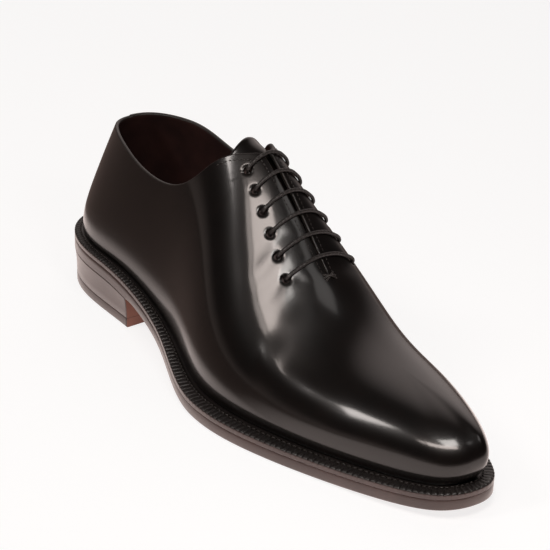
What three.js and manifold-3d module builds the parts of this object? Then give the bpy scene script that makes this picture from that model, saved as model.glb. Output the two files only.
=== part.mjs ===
// Whole cut oxford, right shoe: closed lacing with six pairs of punched eyelets, all-round welt.
// Frame: millimetres, +X to the toe, +Y to the medial side, +Z up, sole on z = 0.
import * as THREE from 'three';
import { mergeVertices } from 'three/addons/utils/BufferGeometryUtils.js';
import Module from 'manifold-3d';

// Overall sizes
const shoeLength = 306;
const ballWidth = 104;
const instepRise = 100;
const collarRise = 60;

// Bottom unit
const heelHeight = 19.6;
const topPieceHeight = 5;
const outsoleThickness = 5.8;
const weltThickness = 3;
const weltWidth = 8;
const toeSpring = 5;
const soleOverhang = 0.5;
const heelTaper = 0.8;
const insoleThickness = 4.5;

// Upper
const upperWall = 2;
const slitTopGap = 5;
const slitFootGap = 1.2;
const tongueThickness = 1.8;
const tongueTopWidth = 46;
const tongueFootWidth = 38;
const tongueDroop = 4;
const tongueGap = 0.6;
const tongueCornerCut = 0.25;

// Lacing
const eyeletPairs = 6;
const eyeletDiameter = 3.8;
const laceDiameter = 2.2;
const eyeletSpreadTop = 24;
const eyeletSpreadFoot = 40;

// Clearance between pieces that touch
const seam = 0.3;

// Places along the shoe, as shares of its length
const place = {
  seatFront: 0.162,
  breast: 0.251,
  treadBack: 0.545,
  springStart: 0.711,
  heelFan: 0.133,
  heelFanStart: 0.329,
  toeFan: 0.79,
  toeFanStart: 0.545,
  slitOpens: 0.413,
  facingTop: 0.459,
  slitFoot: 0.616,
  firstEyelet: 0.462,
  lastEyelet: 0.598,
  tongueTop: 0.412,
  tongueFoot: 0.648,
};

// Outline of the welt: share of the length, share of the ball width (lateral side negative).
// It runs from the heel along the lateral side to the toe and back along the medial side.
const outline = [
  { along: -0.008, across: 0 },
  { along: 0.015, across: -0.23 },
  { along: 0.099, across: -0.354 },
  { along: 0.225, across: -0.35 },
  { along: 0.372, across: -0.383 },
  { along: 0.494, across: -0.567 },
  { along: 0.616, across: -0.598 },
  { along: 0.767, across: -0.459 },
  { along: 0.888, across: -0.337 },
  { along: 0.988, across: -0.213 },
  { along: 1.005, across: -0.019 },
  { along: 0.992, across: 0.116 },
  { along: 0.906, across: 0.245 },
  { along: 0.813, across: 0.345 },
  { along: 0.697, across: 0.4 },
  { along: 0.594, across: 0.438 },
  { along: 0.473, across: 0.288 },
  { along: 0.349, across: 0.279 },
  { along: 0.228, across: 0.332 },
  { along: 0.097, across: 0.341 },
  { along: 0.015, across: 0.231 },
];

// One row for each tenth of the length, from heel to toe.
// ridge: height of the last's ridge over the feather line, share of instepRise.
// side: how far the ridge lies to the medial side, share of ballWidth.
// welt: width that stands out beyond the upper, share of weltWidth.
const stations = [
  { ridge: 0.73, side: 0, welt: 0.5 },
  { ridge: 0.875, side: 0, welt: 0.5 },
  { ridge: 1.01, side: 0, welt: 0.56 },
  { ridge: 1.105, side: 0, welt: 0.56 },
  { ridge: 1.105, side: 0, welt: 0.69 },
  { ridge: 0.965, side: 0.004, welt: 1.01 },
  { ridge: 0.64, side: 0.01, welt: 1.06 },
  { ridge: 0.39, side: 0.018, welt: 0.99 },
  { ridge: 0.335, side: 0.027, welt: 0.9 },
  { ridge: 0.305, side: 0.033, welt: 0.9 },
  { ridge: 0.26, side: 0.035, welt: 0.9 },
];

// Cross sections of each side at the same stations, as shares of half width and of height:
// swell over the welt, lift of the side wall, out and up of the shoulder, crown beside the ridge.
const lateral = [
  { swell: 0.01, lift: 0.25, out: 0.655, up: 0.38, crown: 0.385 },
  { swell: 0.03, lift: 0.25, out: 0.705, up: 0.49, crown: 0.415 },
  { swell: 0.08, lift: 0.25, out: 0.83, up: 0.74, crown: 0.49 },
  { swell: 0.05, lift: 0.25, out: 0.8, up: 0.75, crown: 0.45 },
  { swell: 0.04, lift: 0.25, out: 0.86, up: 0.7, crown: 0.35 },
  { swell: 0.12, lift: 0.25, out: 0.92, up: 0.65, crown: 0.3 },
  { swell: 0.12, lift: 0.3, out: 0.95, up: 0.7, crown: 0.35 },
  { swell: 0.12, lift: 0.35, out: 0.95, up: 0.8, crown: 0.4 },
  { swell: 0.12, lift: 0.4, out: 0.95, up: 0.85, crown: 0.45 },
  { swell: 0.13, lift: 0.45, out: 0.95, up: 0.9, crown: 0.5 },
  { swell: 0.14, lift: 0.5, out: 0.95, up: 0.9, crown: 0.5 },
];
const medial = [
  { swell: 0.01, lift: 0.25, out: 0.655, up: 0.38, crown: 0.385 },
  { swell: 0.03, lift: 0.25, out: 0.705, up: 0.49, crown: 0.415 },
  { swell: 0.08, lift: 0.25, out: 0.83, up: 0.74, crown: 0.49 },
  { swell: 0.05, lift: 0.25, out: 0.8, up: 0.75, crown: 0.45 },
  { swell: 0.055, lift: 0.265, out: 0.815, up: 0.795, crown: 0.485 },
  { swell: 0.08, lift: 0.295, out: 0.85, up: 0.845, crown: 0.535 },
  { swell: 0.105, lift: 0.33, out: 0.885, up: 0.87, crown: 0.56 },
  { swell: 0.14, lift: 0.39, out: 0.92, up: 0.89, crown: 0.565 },
  { swell: 0.19, lift: 0.48, out: 0.96, up: 0.92, crown: 0.59 },
  { swell: 0.24, lift: 0.57, out: 1, up: 0.965, crown: 0.62 },
  { swell: 0.28, lift: 0.66, out: 1.04, up: 0.99, crown: 0.65 },
];

// Collar line from the back seam to the top of the facings: share of the length,
// and for each side the height over the feather line as a share of collarRise.
const collar = [
  { along: 0.0, lateral: 1.0, medial: 1.0 },
  { along: 0.06, lateral: 1.005, medial: 1.01 },
  { along: 0.12, lateral: 1.035, medial: 1.05 },
  { along: 0.18, lateral: 1.01, medial: 1.05 },
  { along: 0.24, lateral: 0.97, medial: 1.03 },
  { along: 0.3, lateral: 1.02, medial: 1.08 },
  { along: 0.35, lateral: 1.15, medial: 1.19 },
  { along: 0.385, lateral: 1.34, medial: 1.36 },
  { along: 0.405, lateral: 1.52, medial: 1.53 },
  { along: 0.43, lateral: 1.65, medial: 1.65 },
  { along: 0.465, lateral: 1.7, medial: 1.7 },
  { along: 0.5, lateral: 1.72, medial: 1.72 },
];

// How gradually the lateral section turns into the medial one around heel and toe
const sideBlend = 1.6;

// The lace's path from an eyelet to the middle: inward as a share of the eyelet's radius,
// off as a share of the height that the lace keeps over the leather
const laceRise = [
  { inward: 0, off: 0 },
  { inward: 0.3, off: 0.7 },
  { inward: 1, off: 1.05 },
  { inward: 2, off: 1 },
  { inward: 5, off: 1 },
];

// How finely the pieces are faceted
const upperPairs = 56;
const upperRows = 13;
const midShoeBunching = 0.15;
const rowsTowardsRidge = 1.25;
const solePairs = 40;
const heelRungs = 14;
const tongueColumns = 19;
const tongueRows = 12;
const laceSteps = 14;
const roundSides = 12;
const cordSides = 8;

// Where searches begin and how far they step
const tableReach = 0.02;
const endSearch = { turns: 0.05, steps: 400 };
const columnSearch = { start: 0.3, step: 0.02 };
const sideTurns = { near: [0.02, 0.49], far: [0.98, 0.51] };
const breastTurns = { near: [0.02, 0.4], far: 0.6 };
const ridgeTouch = 0.1;
const weldDistance = 1e-4;

const leather = (color, roughness) => new THREE.MeshStandardMaterial({ color, roughness, metalness: 0 });
const polishedCalf = leather(0x2a2522, 0.22);
const tongueCalf = leather(0x231f1d, 0.3);
const liningLeather = leather(0x3a2622, 0.6);
const weltLeather = leather(0x1c1816, 0.5);
const edgeLeather = leather(0x4b413e, 0.35);
const laceCotton = leather(0x14110f, 0.5);

// Weights of a uniform cubic B-spline at fraction f of a span
function splineWeights(f) {
  const g = 1 - f;
  const w0 = g * g * g;
  const w1 = 3 * f * f * f - 6 * f * f + 4;
  const w2 = 3 * g * g * g - 6 * g * g + 4;
  const w3 = f * f * f;
  return [w0 / 6, w1 / 6, w2 / 6, w3 / 6];
}

// Value of a column of an open table at position t, where row i lies at t = i
function openSpline(values, t) {
  const last = values.length - 1;
  const row = (i) => {
    if (i < 0) return values[0] + i * (values[1] - values[0]);
    if (i > last) return values[last] + (i - last) * (values[last] - values[last - 1]);
    return values[i];
  };
  const span = Math.floor(t);
  const w = splineWeights(t - span);
  return w[0] * row(span - 1) + w[1] * row(span) + w[2] * row(span + 1) + w[3] * row(span + 2);
}

function closedSpline(values, t) {
  const n = values.length;
  const span = Math.floor(t);
  const w = splineWeights(t - span);
  return [0, 1, 2, 3].reduce((sum, k) => sum + w[k] * values[(span + k - 1 + 2 * n) % n], 0);
}

const clamp = (v, low, high) => Math.min(Math.max(v, low), high);

function smooth(v) {
  const t = clamp(v, 0, 1);
  return t * t * (3 - 2 * t);
}

const mix = (a, b, t) => a + (b - a) * t;

// Root of a function that changes sign between two arguments
function solve(f, a, b, turns = 40) {
  let low = a;
  let high = b;
  const rising = f(b) > f(a);
  for (let i = 0; i < turns; i += 1) {
    const mid = (low + high) / 2;
    if (f(mid) > 0 === rising) high = mid;
    else low = mid;
  }
  return (low + high) / 2;
}

const columnOf = (table, key) => table.map((row) => row[key]);
const atStation = (values, x) => {
  const t = clamp(x / shoeLength, -tableReach, 1 + tableReach) * (values.length - 1);
  return openSpline(values, t);
};

const ridgeColumn = columnOf(stations, 'ridge');
const sideColumn = columnOf(stations, 'side');
const weltColumn = columnOf(stations, 'welt');
const sectionKeys = ['swell', 'lift', 'out', 'up', 'crown'];
const lateralColumns = sectionKeys.map((key) => columnOf(lateral, key));
const medialColumns = sectionKeys.map((key) => columnOf(medial, key));
const outlineX = outline.map((row) => row.along * shoeLength);
const outlineY = outline.map((row) => row.across * ballWidth);

// Height of the outsole's underside: on the heel, flat at the tread, rising to the toe
function ground(x) {
  const s = x / shoeLength;
  const down = smooth((s - place.seatFront) / (place.treadBack - place.seatFront));
  const spring = Math.max(0, (s - place.springStart) / (1 - place.springStart));
  return heelHeight * (1 - down) + toeSpring * spring * spring;
}

const weltTop = (x) => ground(x) + outsoleThickness + seam + weltThickness;
const featherHeight = (x) => weltTop(x) + seam;
const ridgeHeight = (x) => featherHeight(x) + instepRise * atStation(ridgeColumn, x);
const ridgeSide = (x) => ballWidth * atStation(sideColumn, x);

// Point of the outline at turn u (0 to 1) with its outward direction
function outlineAt(u) {
  const n = outline.length;
  const step = 1e-4;
  const turn = ((u % 1) + 1) % 1;
  const at = (v) => [closedSpline(outlineX, v * n), closedSpline(outlineY, v * n)];
  const [x, y] = at(turn);
  const [ax, ay] = at(turn - step);
  const [bx, by] = at(turn + step);
  const size = Math.hypot(bx - ax, by - ay);
  return { x, y, nx: (by - ay) / size, ny: (ax - bx) / size };
}

// Outline moved inwards by a width that may change along the shoe
function insetAt(u, inset) {
  const p = outlineAt(u);
  const d = inset(p.x);
  return { x: p.x - p.nx * d, y: p.y - p.ny * d, nx: p.nx, ny: p.ny };
}

const weltShow = (x) => weltWidth * atStation(weltColumn, x);
const featherAt = (u) => insetAt(u, weltShow);

// Place on the ridge where the column that starts at x ends: columns fan out at heel and toe
function ridgePlace(x) {
  const s = x / shoeLength;
  const { toeFan, toeFanStart, heelFan, heelFanStart } = place;
  if (s > toeFanStart) {
    const rest = 1 - clamp((s - toeFanStart) / (1 - toeFanStart), 0, 1);
    const power = (1 - toeFanStart) / (toeFan - toeFanStart);
    return shoeLength * mix(toeFanStart, toeFan, 1 - rest ** power);
  }
  if (s < heelFanStart) {
    const rest = 1 - clamp((heelFanStart - s) / heelFanStart, 0, 1);
    const power = heelFanStart / (heelFanStart - heelFan);
    return shoeLength * mix(heelFanStart, heelFan, 1 - rest ** power);
  }
  return x;
}

// The outer face of the upper at outline turn u and section share t: 0 feather line, 1 ridge
function lastPoint(u, t) {
  const foot = featherAt(u);
  const farShare = smooth(0.5 + foot.ny / sideBlend);
  const [swell, lift, out, up, crown] = sectionKeys.map((key, i) => mix(
    atStation(lateralColumns[i], foot.x),
    atStation(medialColumns[i], foot.x),
    farShare,
  ));
  const r = 1 - t;
  const b0 = r ** 4;
  const b1 = 4 * r ** 3 * t;
  const b2 = 6 * r * r * t * t;
  const b3 = 4 * r * t ** 3;
  const b4 = t ** 4;
  const across = b0 + b1 * (1 + swell) + b2 * out + b3 * crown;
  const height = b1 * lift + b2 * up + b3 + b4;
  const spine = ridgePlace(foot.x);
  const x = spine + (foot.x - spine) * across;
  const y = mix(ridgeSide(spine), foot.y, across);
  const low = featherHeight(foot.x);
  return new THREE.Vector3(x, y, low + height * (ridgeHeight(x) - low));
}

// Outward direction of that face
function lastNormal(u, t) {
  const du = 1e-3;
  const dt = 1e-3;
  const v = clamp(t, dt, 1 - 2 * dt);
  const alongU = lastPoint(u + du, v).sub(lastPoint(u - du, v));
  const alongT = lastPoint(u, v + dt).sub(lastPoint(u, v - dt));
  return alongU.cross(alongT).normalize();
}

// Turns of the outline on both sides at the same x, from heel to toe
function outlinePairs(pointAt, count) {
  const ends = { heel: 0, toe: 0.5 };
  for (let i = -endSearch.steps; i <= endSearch.steps; i += 1) {
    const turn = (endSearch.turns * i) / endSearch.steps;
    if (pointAt(turn).x < pointAt(ends.heel).x) ends.heel = turn;
    if (pointAt(0.5 + turn).x > pointAt(ends.toe).x) ends.toe = 0.5 + turn;
  }
  return Array.from({ length: count }, (_, k) => {
    const share = (k + 0.5) / count;
    const bunched = share + (midShoeBunching * Math.sin(2 * Math.PI * share)) / (2 * Math.PI);
    const near = mix(ends.heel, ends.toe, bunched);
    const { x } = pointAt(near);
    const far = solve((u) => pointAt(u).x - x, ends.toe, 1 + ends.heel);
    return { near, far, x };
  });
}

// A closed body from corner points and faces of three or four corners
class Body {
  constructor() {
    this.points = [];
    this.faces = [];
  }

  add(point) {
    this.points.push(point.x, point.y, point.z);
    return this.points.length / 3 - 1;
  }

  face(a, b, c, d) {
    if (a !== b && b !== c && c !== a) this.faces.push(a, b, c);
    if (d !== undefined && c !== d && d !== a && a !== c) this.faces.push(a, c, d);
  }

  geometry() {
    const made = new THREE.BufferGeometry();
    made.setAttribute('position', new THREE.Float32BufferAttribute(this.points, 3));
    made.setIndex(this.faces);
    return made;
  }
}

// A plate between two heights, inside a loop given by pairs of points with the same x
function plate(pairs, pointAt, lower, upper) {
  const body = new Body();
  const rungs = pairs.map(({ near, far }) => {
    const [a, b] = [pointAt(near), pointAt(far)];
    const corner = (p, height) => body.add({ x: p.x, y: p.y, z: height(p.x) });
    return { a0: corner(a, lower), b0: corner(b, lower), a1: corner(a, upper), b1: corner(b, upper) };
  });
  rungs.slice(1).forEach((n, i) => {
    const m = rungs[i];
    body.face(m.a1, n.a1, n.b1, m.b1);
    body.face(m.b0, n.b0, n.a0, m.a0);
    body.face(m.a0, n.a0, n.a1, m.a1);
    body.face(m.b1, n.b1, n.b0, m.b0);
  });
  const first = rungs[0];
  const last = rungs[rungs.length - 1];
  body.face(first.b0, first.a0, first.a1, first.b1);
  body.face(last.a0, last.b0, last.b1, last.a1);
  return body.geometry();
}

// A ring between an outer and an inner inset of the outline
function ring(count, outer, inner, lower, upper) {
  const body = new Body();
  const rows = Array.from({ length: count }, (_, i) => {
    const [a, b] = [outer(i / count), inner(i / count)];
    const corner = (p, height) => body.add({ x: p.x, y: p.y, z: height(p.x) });
    return [corner(a, lower), corner(a, upper), corner(b, upper), corner(b, lower)];
  });
  rows.forEach((m, i) => {
    const n = rows[(i + 1) % count];
    m.forEach((corner, k) => {
      const next = (k + 1) % 4;
      body.face(corner, n[k], n[next], m[next]);
    });
  });
  return body.geometry();
}

// Half the gap between the facings at x
function slitHalf(x) {
  const span = (place.slitFoot - place.facingTop) * shoeLength;
  const down = clamp((x - place.facingTop * shoeLength) / span, 0, 1);
  return mix(slitTopGap, slitFootGap, down) / 2;
}

const collarAlong = columnOf(collar, 'along');
const collarHeights = { near: columnOf(collar, 'lateral'), far: columnOf(collar, 'medial') };

// Height of the collar line at x on one side
function collarHeight(x, side) {
  const s = clamp(x / shoeLength, collarAlong[0], collarAlong[collarAlong.length - 1]);
  const t = solve((v) => openSpline(collarAlong, v) - s, 0, collarAlong.length - 1);
  return featherHeight(x) + collarRise * openSpline(collarHeights[side], t);
}

// Section share at which a column stops: at the collar, at the slit, or at the ridge
function columnEnd(u, side, spine) {
  if (spine >= place.slitFoot * shoeLength) return 1;
  const overSlit = (p) => {
    if (p.x < place.slitOpens * shoeLength) return slitTopGap;
    return Math.abs(p.y - ridgeSide(spine)) - slitHalf(p.x);
  };
  const room = (t) => {
    const p = lastPoint(u, t);
    return Math.min(collarHeight(p.x, side) - p.z, overSlit(p));
  };
  let t = columnSearch.start;
  while (t < 1 && room(t) > 0) t += columnSearch.step;
  return solve(room, t - columnSearch.step, Math.min(t, 1));
}

const upperPairList = outlinePairs(featherAt, upperPairs).map((pair) => ({
  ...pair,
  spine: ridgePlace(pair.x),
}));

// The upper: outer and inner face of each column, joined at feather line, collar and slit
function upperGeometry() {
  const body = new Body();
  const columnFor = (pair, side) => {
    const u = pair[side];
    const end = columnEnd(u, side, pair.spine);
    const open = end < 1;
    const outer = [];
    const inner = [];
    for (let row = 0; row < upperRows; row += 1) {
      const t = end * (1 - (1 - row / (upperRows - 1)) ** rowsTowardsRidge);
      const p = lastPoint(u, t);
      const n = lastNormal(u, t);
      if (row === 0) {
        const foot = featherAt(u);
        n.set(foot.nx, foot.ny, 0);
      }
      if (t === 1) n.set(n.x, 0, n.z).normalize();
      outer.push(body.add(p));
      inner.push(body.add(p.clone().addScaledVector(n, -upperWall)));
    }
    return { outer, inner, open };
  };
  const near = upperPairList.map((pair) => columnFor(pair, 'near'));
  const far = upperPairList.map((pair) => columnFor(pair, 'far'));
  const top = upperRows - 1;
  near.forEach((column, k) => {
    if (column.open) return;
    far[k].outer[top] = column.outer[top];
    far[k].inner[top] = column.inner[top];
  });
  const loop = [...near, ...far.reverse()];
  loop.forEach((m, i) => {
    const n = loop[(i + 1) % loop.length];
    for (let row = 0; row < top; row += 1) {
      body.face(m.outer[row], n.outer[row], n.outer[row + 1], m.outer[row + 1]);
      body.face(m.inner[row + 1], n.inner[row + 1], n.inner[row], m.inner[row]);
    }
    body.face(m.inner[0], n.inner[0], n.outer[0], m.outer[0]);
    if (m.open || n.open) body.face(m.outer[top], n.outer[top], n.inner[top], m.inner[top]);
  });
  return body.geometry();
}

// Turn and section share of the point on one side at spine place x and distance y from the ridge
function besideRidge(x, y, side) {
  const [heelTurn, toeTurn] = sideTurns[side];
  const u = solve((v) => ridgePlace(featherAt(v).x) - x, heelTurn, toeTurn);
  const t = solve((v) => Math.abs(lastPoint(u, v).y - ridgeSide(x)) - y, columnSearch.start, 1);
  return { u, t };
}

// Point at spine place x, distance y from the ridge (lateral negative) and a distance off the face
function offFace(x, y, off) {
  const { u, t } = besideRidge(x, Math.abs(y), y < 0 ? 'near' : 'far');
  const n = lastNormal(u, t);
  if (Math.abs(y) < ridgeTouch) n.set(n.x, 0, n.z).normalize();
  return lastPoint(u, t).addScaledVector(n, off);
}

// The tongue: a sheet under the facings that stands a little out of the collar
function tongueGeometry() {
  const body = new Body();
  const outerOff = -(upperWall + tongueGap);
  const layers = [outerOff, outerOff - tongueThickness].map((off) => {
    const grid = [];
    for (let i = 0; i < tongueColumns; i += 1) {
      const along = i / (tongueColumns - 1);
      const x = shoeLength * mix(place.tongueTop, place.tongueFoot, along);
      const half = mix(tongueTopWidth, tongueFootWidth, along) / 2;
      const above = smooth((place.facingTop - x / shoeLength) / (place.facingTop - place.tongueTop));
      const line = [];
      for (let j = 0; j <= tongueRows; j += 1) {
        const side = (2 * j) / tongueRows - 1;
        const rounding = 1 - tongueCornerCut * above * side * side;
        const p = offFace(x, half * side * rounding, off);
        p.z -= tongueDroop * above;
        line.push(body.add(p));
      }
      grid.push(line);
    }
    return grid;
  });
  const [outer, inner] = layers;
  const lastColumn = tongueColumns - 1;
  for (let i = 0; i < lastColumn; i += 1) {
    for (let j = 0; j < tongueRows; j += 1) {
      body.face(outer[i][j], outer[i + 1][j], outer[i + 1][j + 1], outer[i][j + 1]);
      body.face(inner[i][j + 1], inner[i + 1][j + 1], inner[i + 1][j], inner[i][j]);
    }
    body.face(inner[i][0], inner[i + 1][0], outer[i + 1][0], outer[i][0]);
    body.face(outer[i][tongueRows], outer[i + 1][tongueRows], inner[i + 1][tongueRows], inner[i][tongueRows]);
  }
  for (let j = 0; j < tongueRows; j += 1) {
    body.face(outer[0][j], outer[0][j + 1], inner[0][j + 1], inner[0][j]);
    body.face(inner[lastColumn][j], inner[lastColumn][j + 1], outer[lastColumn][j + 1], outer[lastColumn][j]);
  }
  return body.geometry();
}

// Places of the eyelet pairs: x on the ridge and half the distance between the two holes
const eyelets = Array.from({ length: eyeletPairs }, (_, i) => {
  const down = i / (eyeletPairs - 1);
  return {
    x: shoeLength * mix(place.firstEyelet, place.lastEyelet, down),
    half: mix(eyeletSpreadTop, eyeletSpreadFoot, down) / 2,
  };
});

const wasm = await Module();
wasm.setup();

function toSolid(geometry) {
  const bare = geometry.clone();
  bare.deleteAttribute('normal');
  bare.deleteAttribute('uv');
  const merged = mergeVertices(bare, weldDistance);
  return new wasm.Manifold(new wasm.Mesh({
    numProp: 3,
    vertProperties: new Float32Array(merged.attributes.position.array),
    triVerts: new Uint32Array(merged.index.array),
  }));
}

function toGeometry(solid) {
  const mesh = solid.getMesh();
  const made = new THREE.BufferGeometry();
  made.setAttribute('position', new THREE.Float32BufferAttribute(mesh.vertProperties, 3));
  made.setIndex(Array.from(mesh.triVerts));
  return made;
}

// A punch through the wall at each eyelet, square to the leather
function punchGeometry(x, y) {
  const punch = new THREE.CylinderGeometry(eyeletDiameter / 2, eyeletDiameter / 2, 3 * upperWall, roundSides);
  const outside = offFace(x, y, 0);
  const axis = outside.clone().sub(offFace(x, y, -upperWall)).normalize();
  punch.applyQuaternion(new THREE.Quaternion().setFromUnitVectors(new THREE.Vector3(0, 1, 0), axis));
  const middle = outside.addScaledVector(axis, -upperWall / 2);
  return punch.translate(middle.x, middle.y, middle.z);
}

function punchedUpper() {
  let solid = toSolid(upperGeometry());
  eyelets.forEach(({ x, half }) => {
    [-half, half].forEach((y) => {
      solid = solid.subtract(toSolid(punchGeometry(x, y)));
    });
  });
  return toGeometry(solid);
}

// One bar of the lace: out of the lateral eyelet, over the facings, into the medial eyelet
function laceBarGeometry({ x, half }) {
  const radius = laceDiameter / 2;
  const over = radius + seam;
  const bend = eyeletDiameter / 2;
  const side = (sign) => [
    offFace(x, sign * half, seam - upperWall),
    ...laceRise.map(({ inward, off }) => offFace(x, sign * (half - inward * bend), off * over)),
  ];
  const crest = offFace(x, 0, over);
  const path = new THREE.CatmullRomCurve3([...side(-1), crest, ...side(1).reverse()], false, 'centripetal');
  const section = new THREE.Shape(Array.from({ length: cordSides }, (_, i) => {
    const angle = (2 * Math.PI * (i + 0.5)) / cordSides;
    return new THREE.Vector2(radius * Math.cos(angle), radius * Math.sin(angle));
  }));
  return new THREE.ExtrudeGeometry(section, { steps: laceSteps, extrudePath: path });
}

const soleEdgeAt = (u) => insetAt(u, () => -soleOverhang);
const heelEdgeAt = (u) => insetAt(u, () => heelTaper);
const weltInside = (x) => weltShow(x) + upperWall;
const insoleEdgeAt = (u) => insetAt(u, (x) => weltInside(x) + seam);

const solePairList = outlinePairs(soleEdgeAt, solePairs);
const insolePairList = outlinePairs(insoleEdgeAt, solePairs);

// The heel's loop of rungs stops at the breast, which is a flat cut across the shoe
function heelPairList() {
  const ends = outlinePairs(heelEdgeAt, solePairs);
  const breastX = place.breast * shoeLength;
  const near = solve((u) => heelEdgeAt(u).x - breastX, ...breastTurns.near);
  const start = ends[0].near;
  return Array.from({ length: heelRungs }, (_, k) => {
    const turn = mix(start, near, k / (heelRungs - 1));
    const { x } = heelEdgeAt(turn);
    const far = solve((u) => heelEdgeAt(u).x - x, breastTurns.far, ends[0].far);
    return { near: turn, far };
  });
}

const group = new THREE.Group();

function addPart(name, geometry, material) {
  const mesh = new THREE.Mesh(geometry, material);
  mesh.name = name;
  group.add(mesh);
}

const heelPairs = heelPairList();
const outsoleTop = (x) => ground(x) + outsoleThickness;

addPart('heel_top_piece', plate(heelPairs, heelEdgeAt, () => 0, () => topPieceHeight), edgeLeather);
addPart(
  'heel_stack',
  plate(heelPairs, heelEdgeAt, () => topPieceHeight + seam, (x) => ground(x) - seam),
  edgeLeather,
);
addPart('outsole', plate(solePairList, soleEdgeAt, ground, outsoleTop), edgeLeather);
addPart(
  'welt',
  ring(2 * solePairs, outlineAt, (u) => insetAt(u, weltInside), (x) => outsoleTop(x) + seam, weltTop),
  weltLeather,
);
addPart(
  'insole',
  plate(
    insolePairList,
    insoleEdgeAt,
    (x) => outsoleTop(x) + seam,
    (x) => outsoleTop(x) + seam + insoleThickness,
  ),
  liningLeather,
);
addPart('upper', punchedUpper(), polishedCalf);
addPart('tongue', tongueGeometry(), tongueCalf);
eyelets.forEach((pair, i) => {
  addPart(`lace_bar_${i + 1}`, laceBarGeometry(pair), laceCotton);
});

// The origin is the middle of the shoe's bounding box, on the floor
const box = new THREE.Box3().setFromObject(group);
const middle = box.getCenter(new THREE.Vector3());
group.position.set(-middle.x, -middle.y, -box.min.z);

export default group;
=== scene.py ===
import math

import bmesh
import bpy
import numpy as np
from mathutils import Matrix, Vector
from mathutils.kdtree import KDTree


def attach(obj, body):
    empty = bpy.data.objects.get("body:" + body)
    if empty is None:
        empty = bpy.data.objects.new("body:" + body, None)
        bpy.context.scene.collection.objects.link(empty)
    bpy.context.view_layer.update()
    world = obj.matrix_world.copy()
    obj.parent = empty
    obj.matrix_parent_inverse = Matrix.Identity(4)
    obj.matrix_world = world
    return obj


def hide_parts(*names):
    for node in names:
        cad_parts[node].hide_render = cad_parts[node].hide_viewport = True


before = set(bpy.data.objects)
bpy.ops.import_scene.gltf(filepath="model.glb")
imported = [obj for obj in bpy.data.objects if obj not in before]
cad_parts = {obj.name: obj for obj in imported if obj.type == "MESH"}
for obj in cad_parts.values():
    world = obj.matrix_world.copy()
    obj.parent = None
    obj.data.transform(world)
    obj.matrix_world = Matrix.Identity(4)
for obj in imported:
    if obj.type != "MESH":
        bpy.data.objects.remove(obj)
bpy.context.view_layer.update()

MM = 0.001

# Overall sizes
SHOE_LENGTH = 306.0
BALL_WIDTH = 104.0
INSTEP_RISE = 100.0
COLLAR_RISE = 60.0

# Bottom unit
HEEL_HEIGHT = 19.6
TOP_PIECE_HEIGHT = 5.0
OUTSOLE_THICKNESS = 5.8
WELT_THICKNESS = 3.0
WELT_WIDTH = 8.0
TOE_SPRING = 5.0
SOLE_OVERHANG = 0.5
HEEL_TAPER = 0.8
INSOLE_THICKNESS = 4.5
SEAM = 0.3

# Upper, tongue and lacing
UPPER_WALL = 2.0
SLIT_TOP_GAP = 5.0
SLIT_FOOT_GAP = 1.2
TONGUE_THICKNESS = 1.8
TONGUE_TOP_WIDTH = 46.0
TONGUE_FOOT_WIDTH = 38.0
TONGUE_DROOP = 4.0
TONGUE_GAP = 0.6
EYELET_PAIRS = 6
EYELET_DIAMETER = 3.8
EYELET_SPREAD_TOP = 24.0
EYELET_SPREAD_FOOT = 40.0

# Places along the shoe, as shares of its length
SEAT_FRONT = 0.162
BREAST = 0.251
TREAD_BACK = 0.545
SPRING_START = 0.711
HEEL_FAN = 0.133
HEEL_FAN_START = 0.329
TOE_FAN = 0.79
TOE_FAN_START = 0.545
SLIT_OPENS = 0.413
FACING_TOP = 0.459
SLIT_FOOT = 0.616
FIRST_EYELET = 0.462
LAST_EYELET = 0.598
TONGUE_TOP = 0.412
TONGUE_FOOT = 0.648

# Outline of the welt: share of the length, share of the ball width (lateral side negative)
OUTLINE = [
    (-0.008, 0), (0.015, -0.23), (0.099, -0.354), (0.225, -0.35), (0.372, -0.383),
    (0.494, -0.567), (0.616, -0.598), (0.767, -0.459), (0.888, -0.337), (0.988, -0.213),
    (1.005, -0.019), (0.992, 0.116), (0.906, 0.245), (0.813, 0.345), (0.697, 0.4),
    (0.594, 0.438), (0.473, 0.288), (0.349, 0.279), (0.228, 0.332), (0.097, 0.341),
    (0.015, 0.231),
]

# A row for each tenth of the length, from heel to toe. Ridge: height over the feather line,
# share of the instep's rise. Side: its offset to the medial side. Welt: the width that shows.
STATIONS = {
    "ridge": [0.73, 0.875, 1.01, 1.105, 1.105, 0.965, 0.64, 0.39, 0.335, 0.305, 0.26],
    "side": [0, 0, 0, 0, 0, 0.004, 0.01, 0.018, 0.027, 0.033, 0.035],
    "welt": [0.5, 0.5, 0.56, 0.56, 0.69, 1.01, 1.06, 0.99, 0.9, 0.9, 0.9],
}

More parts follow.
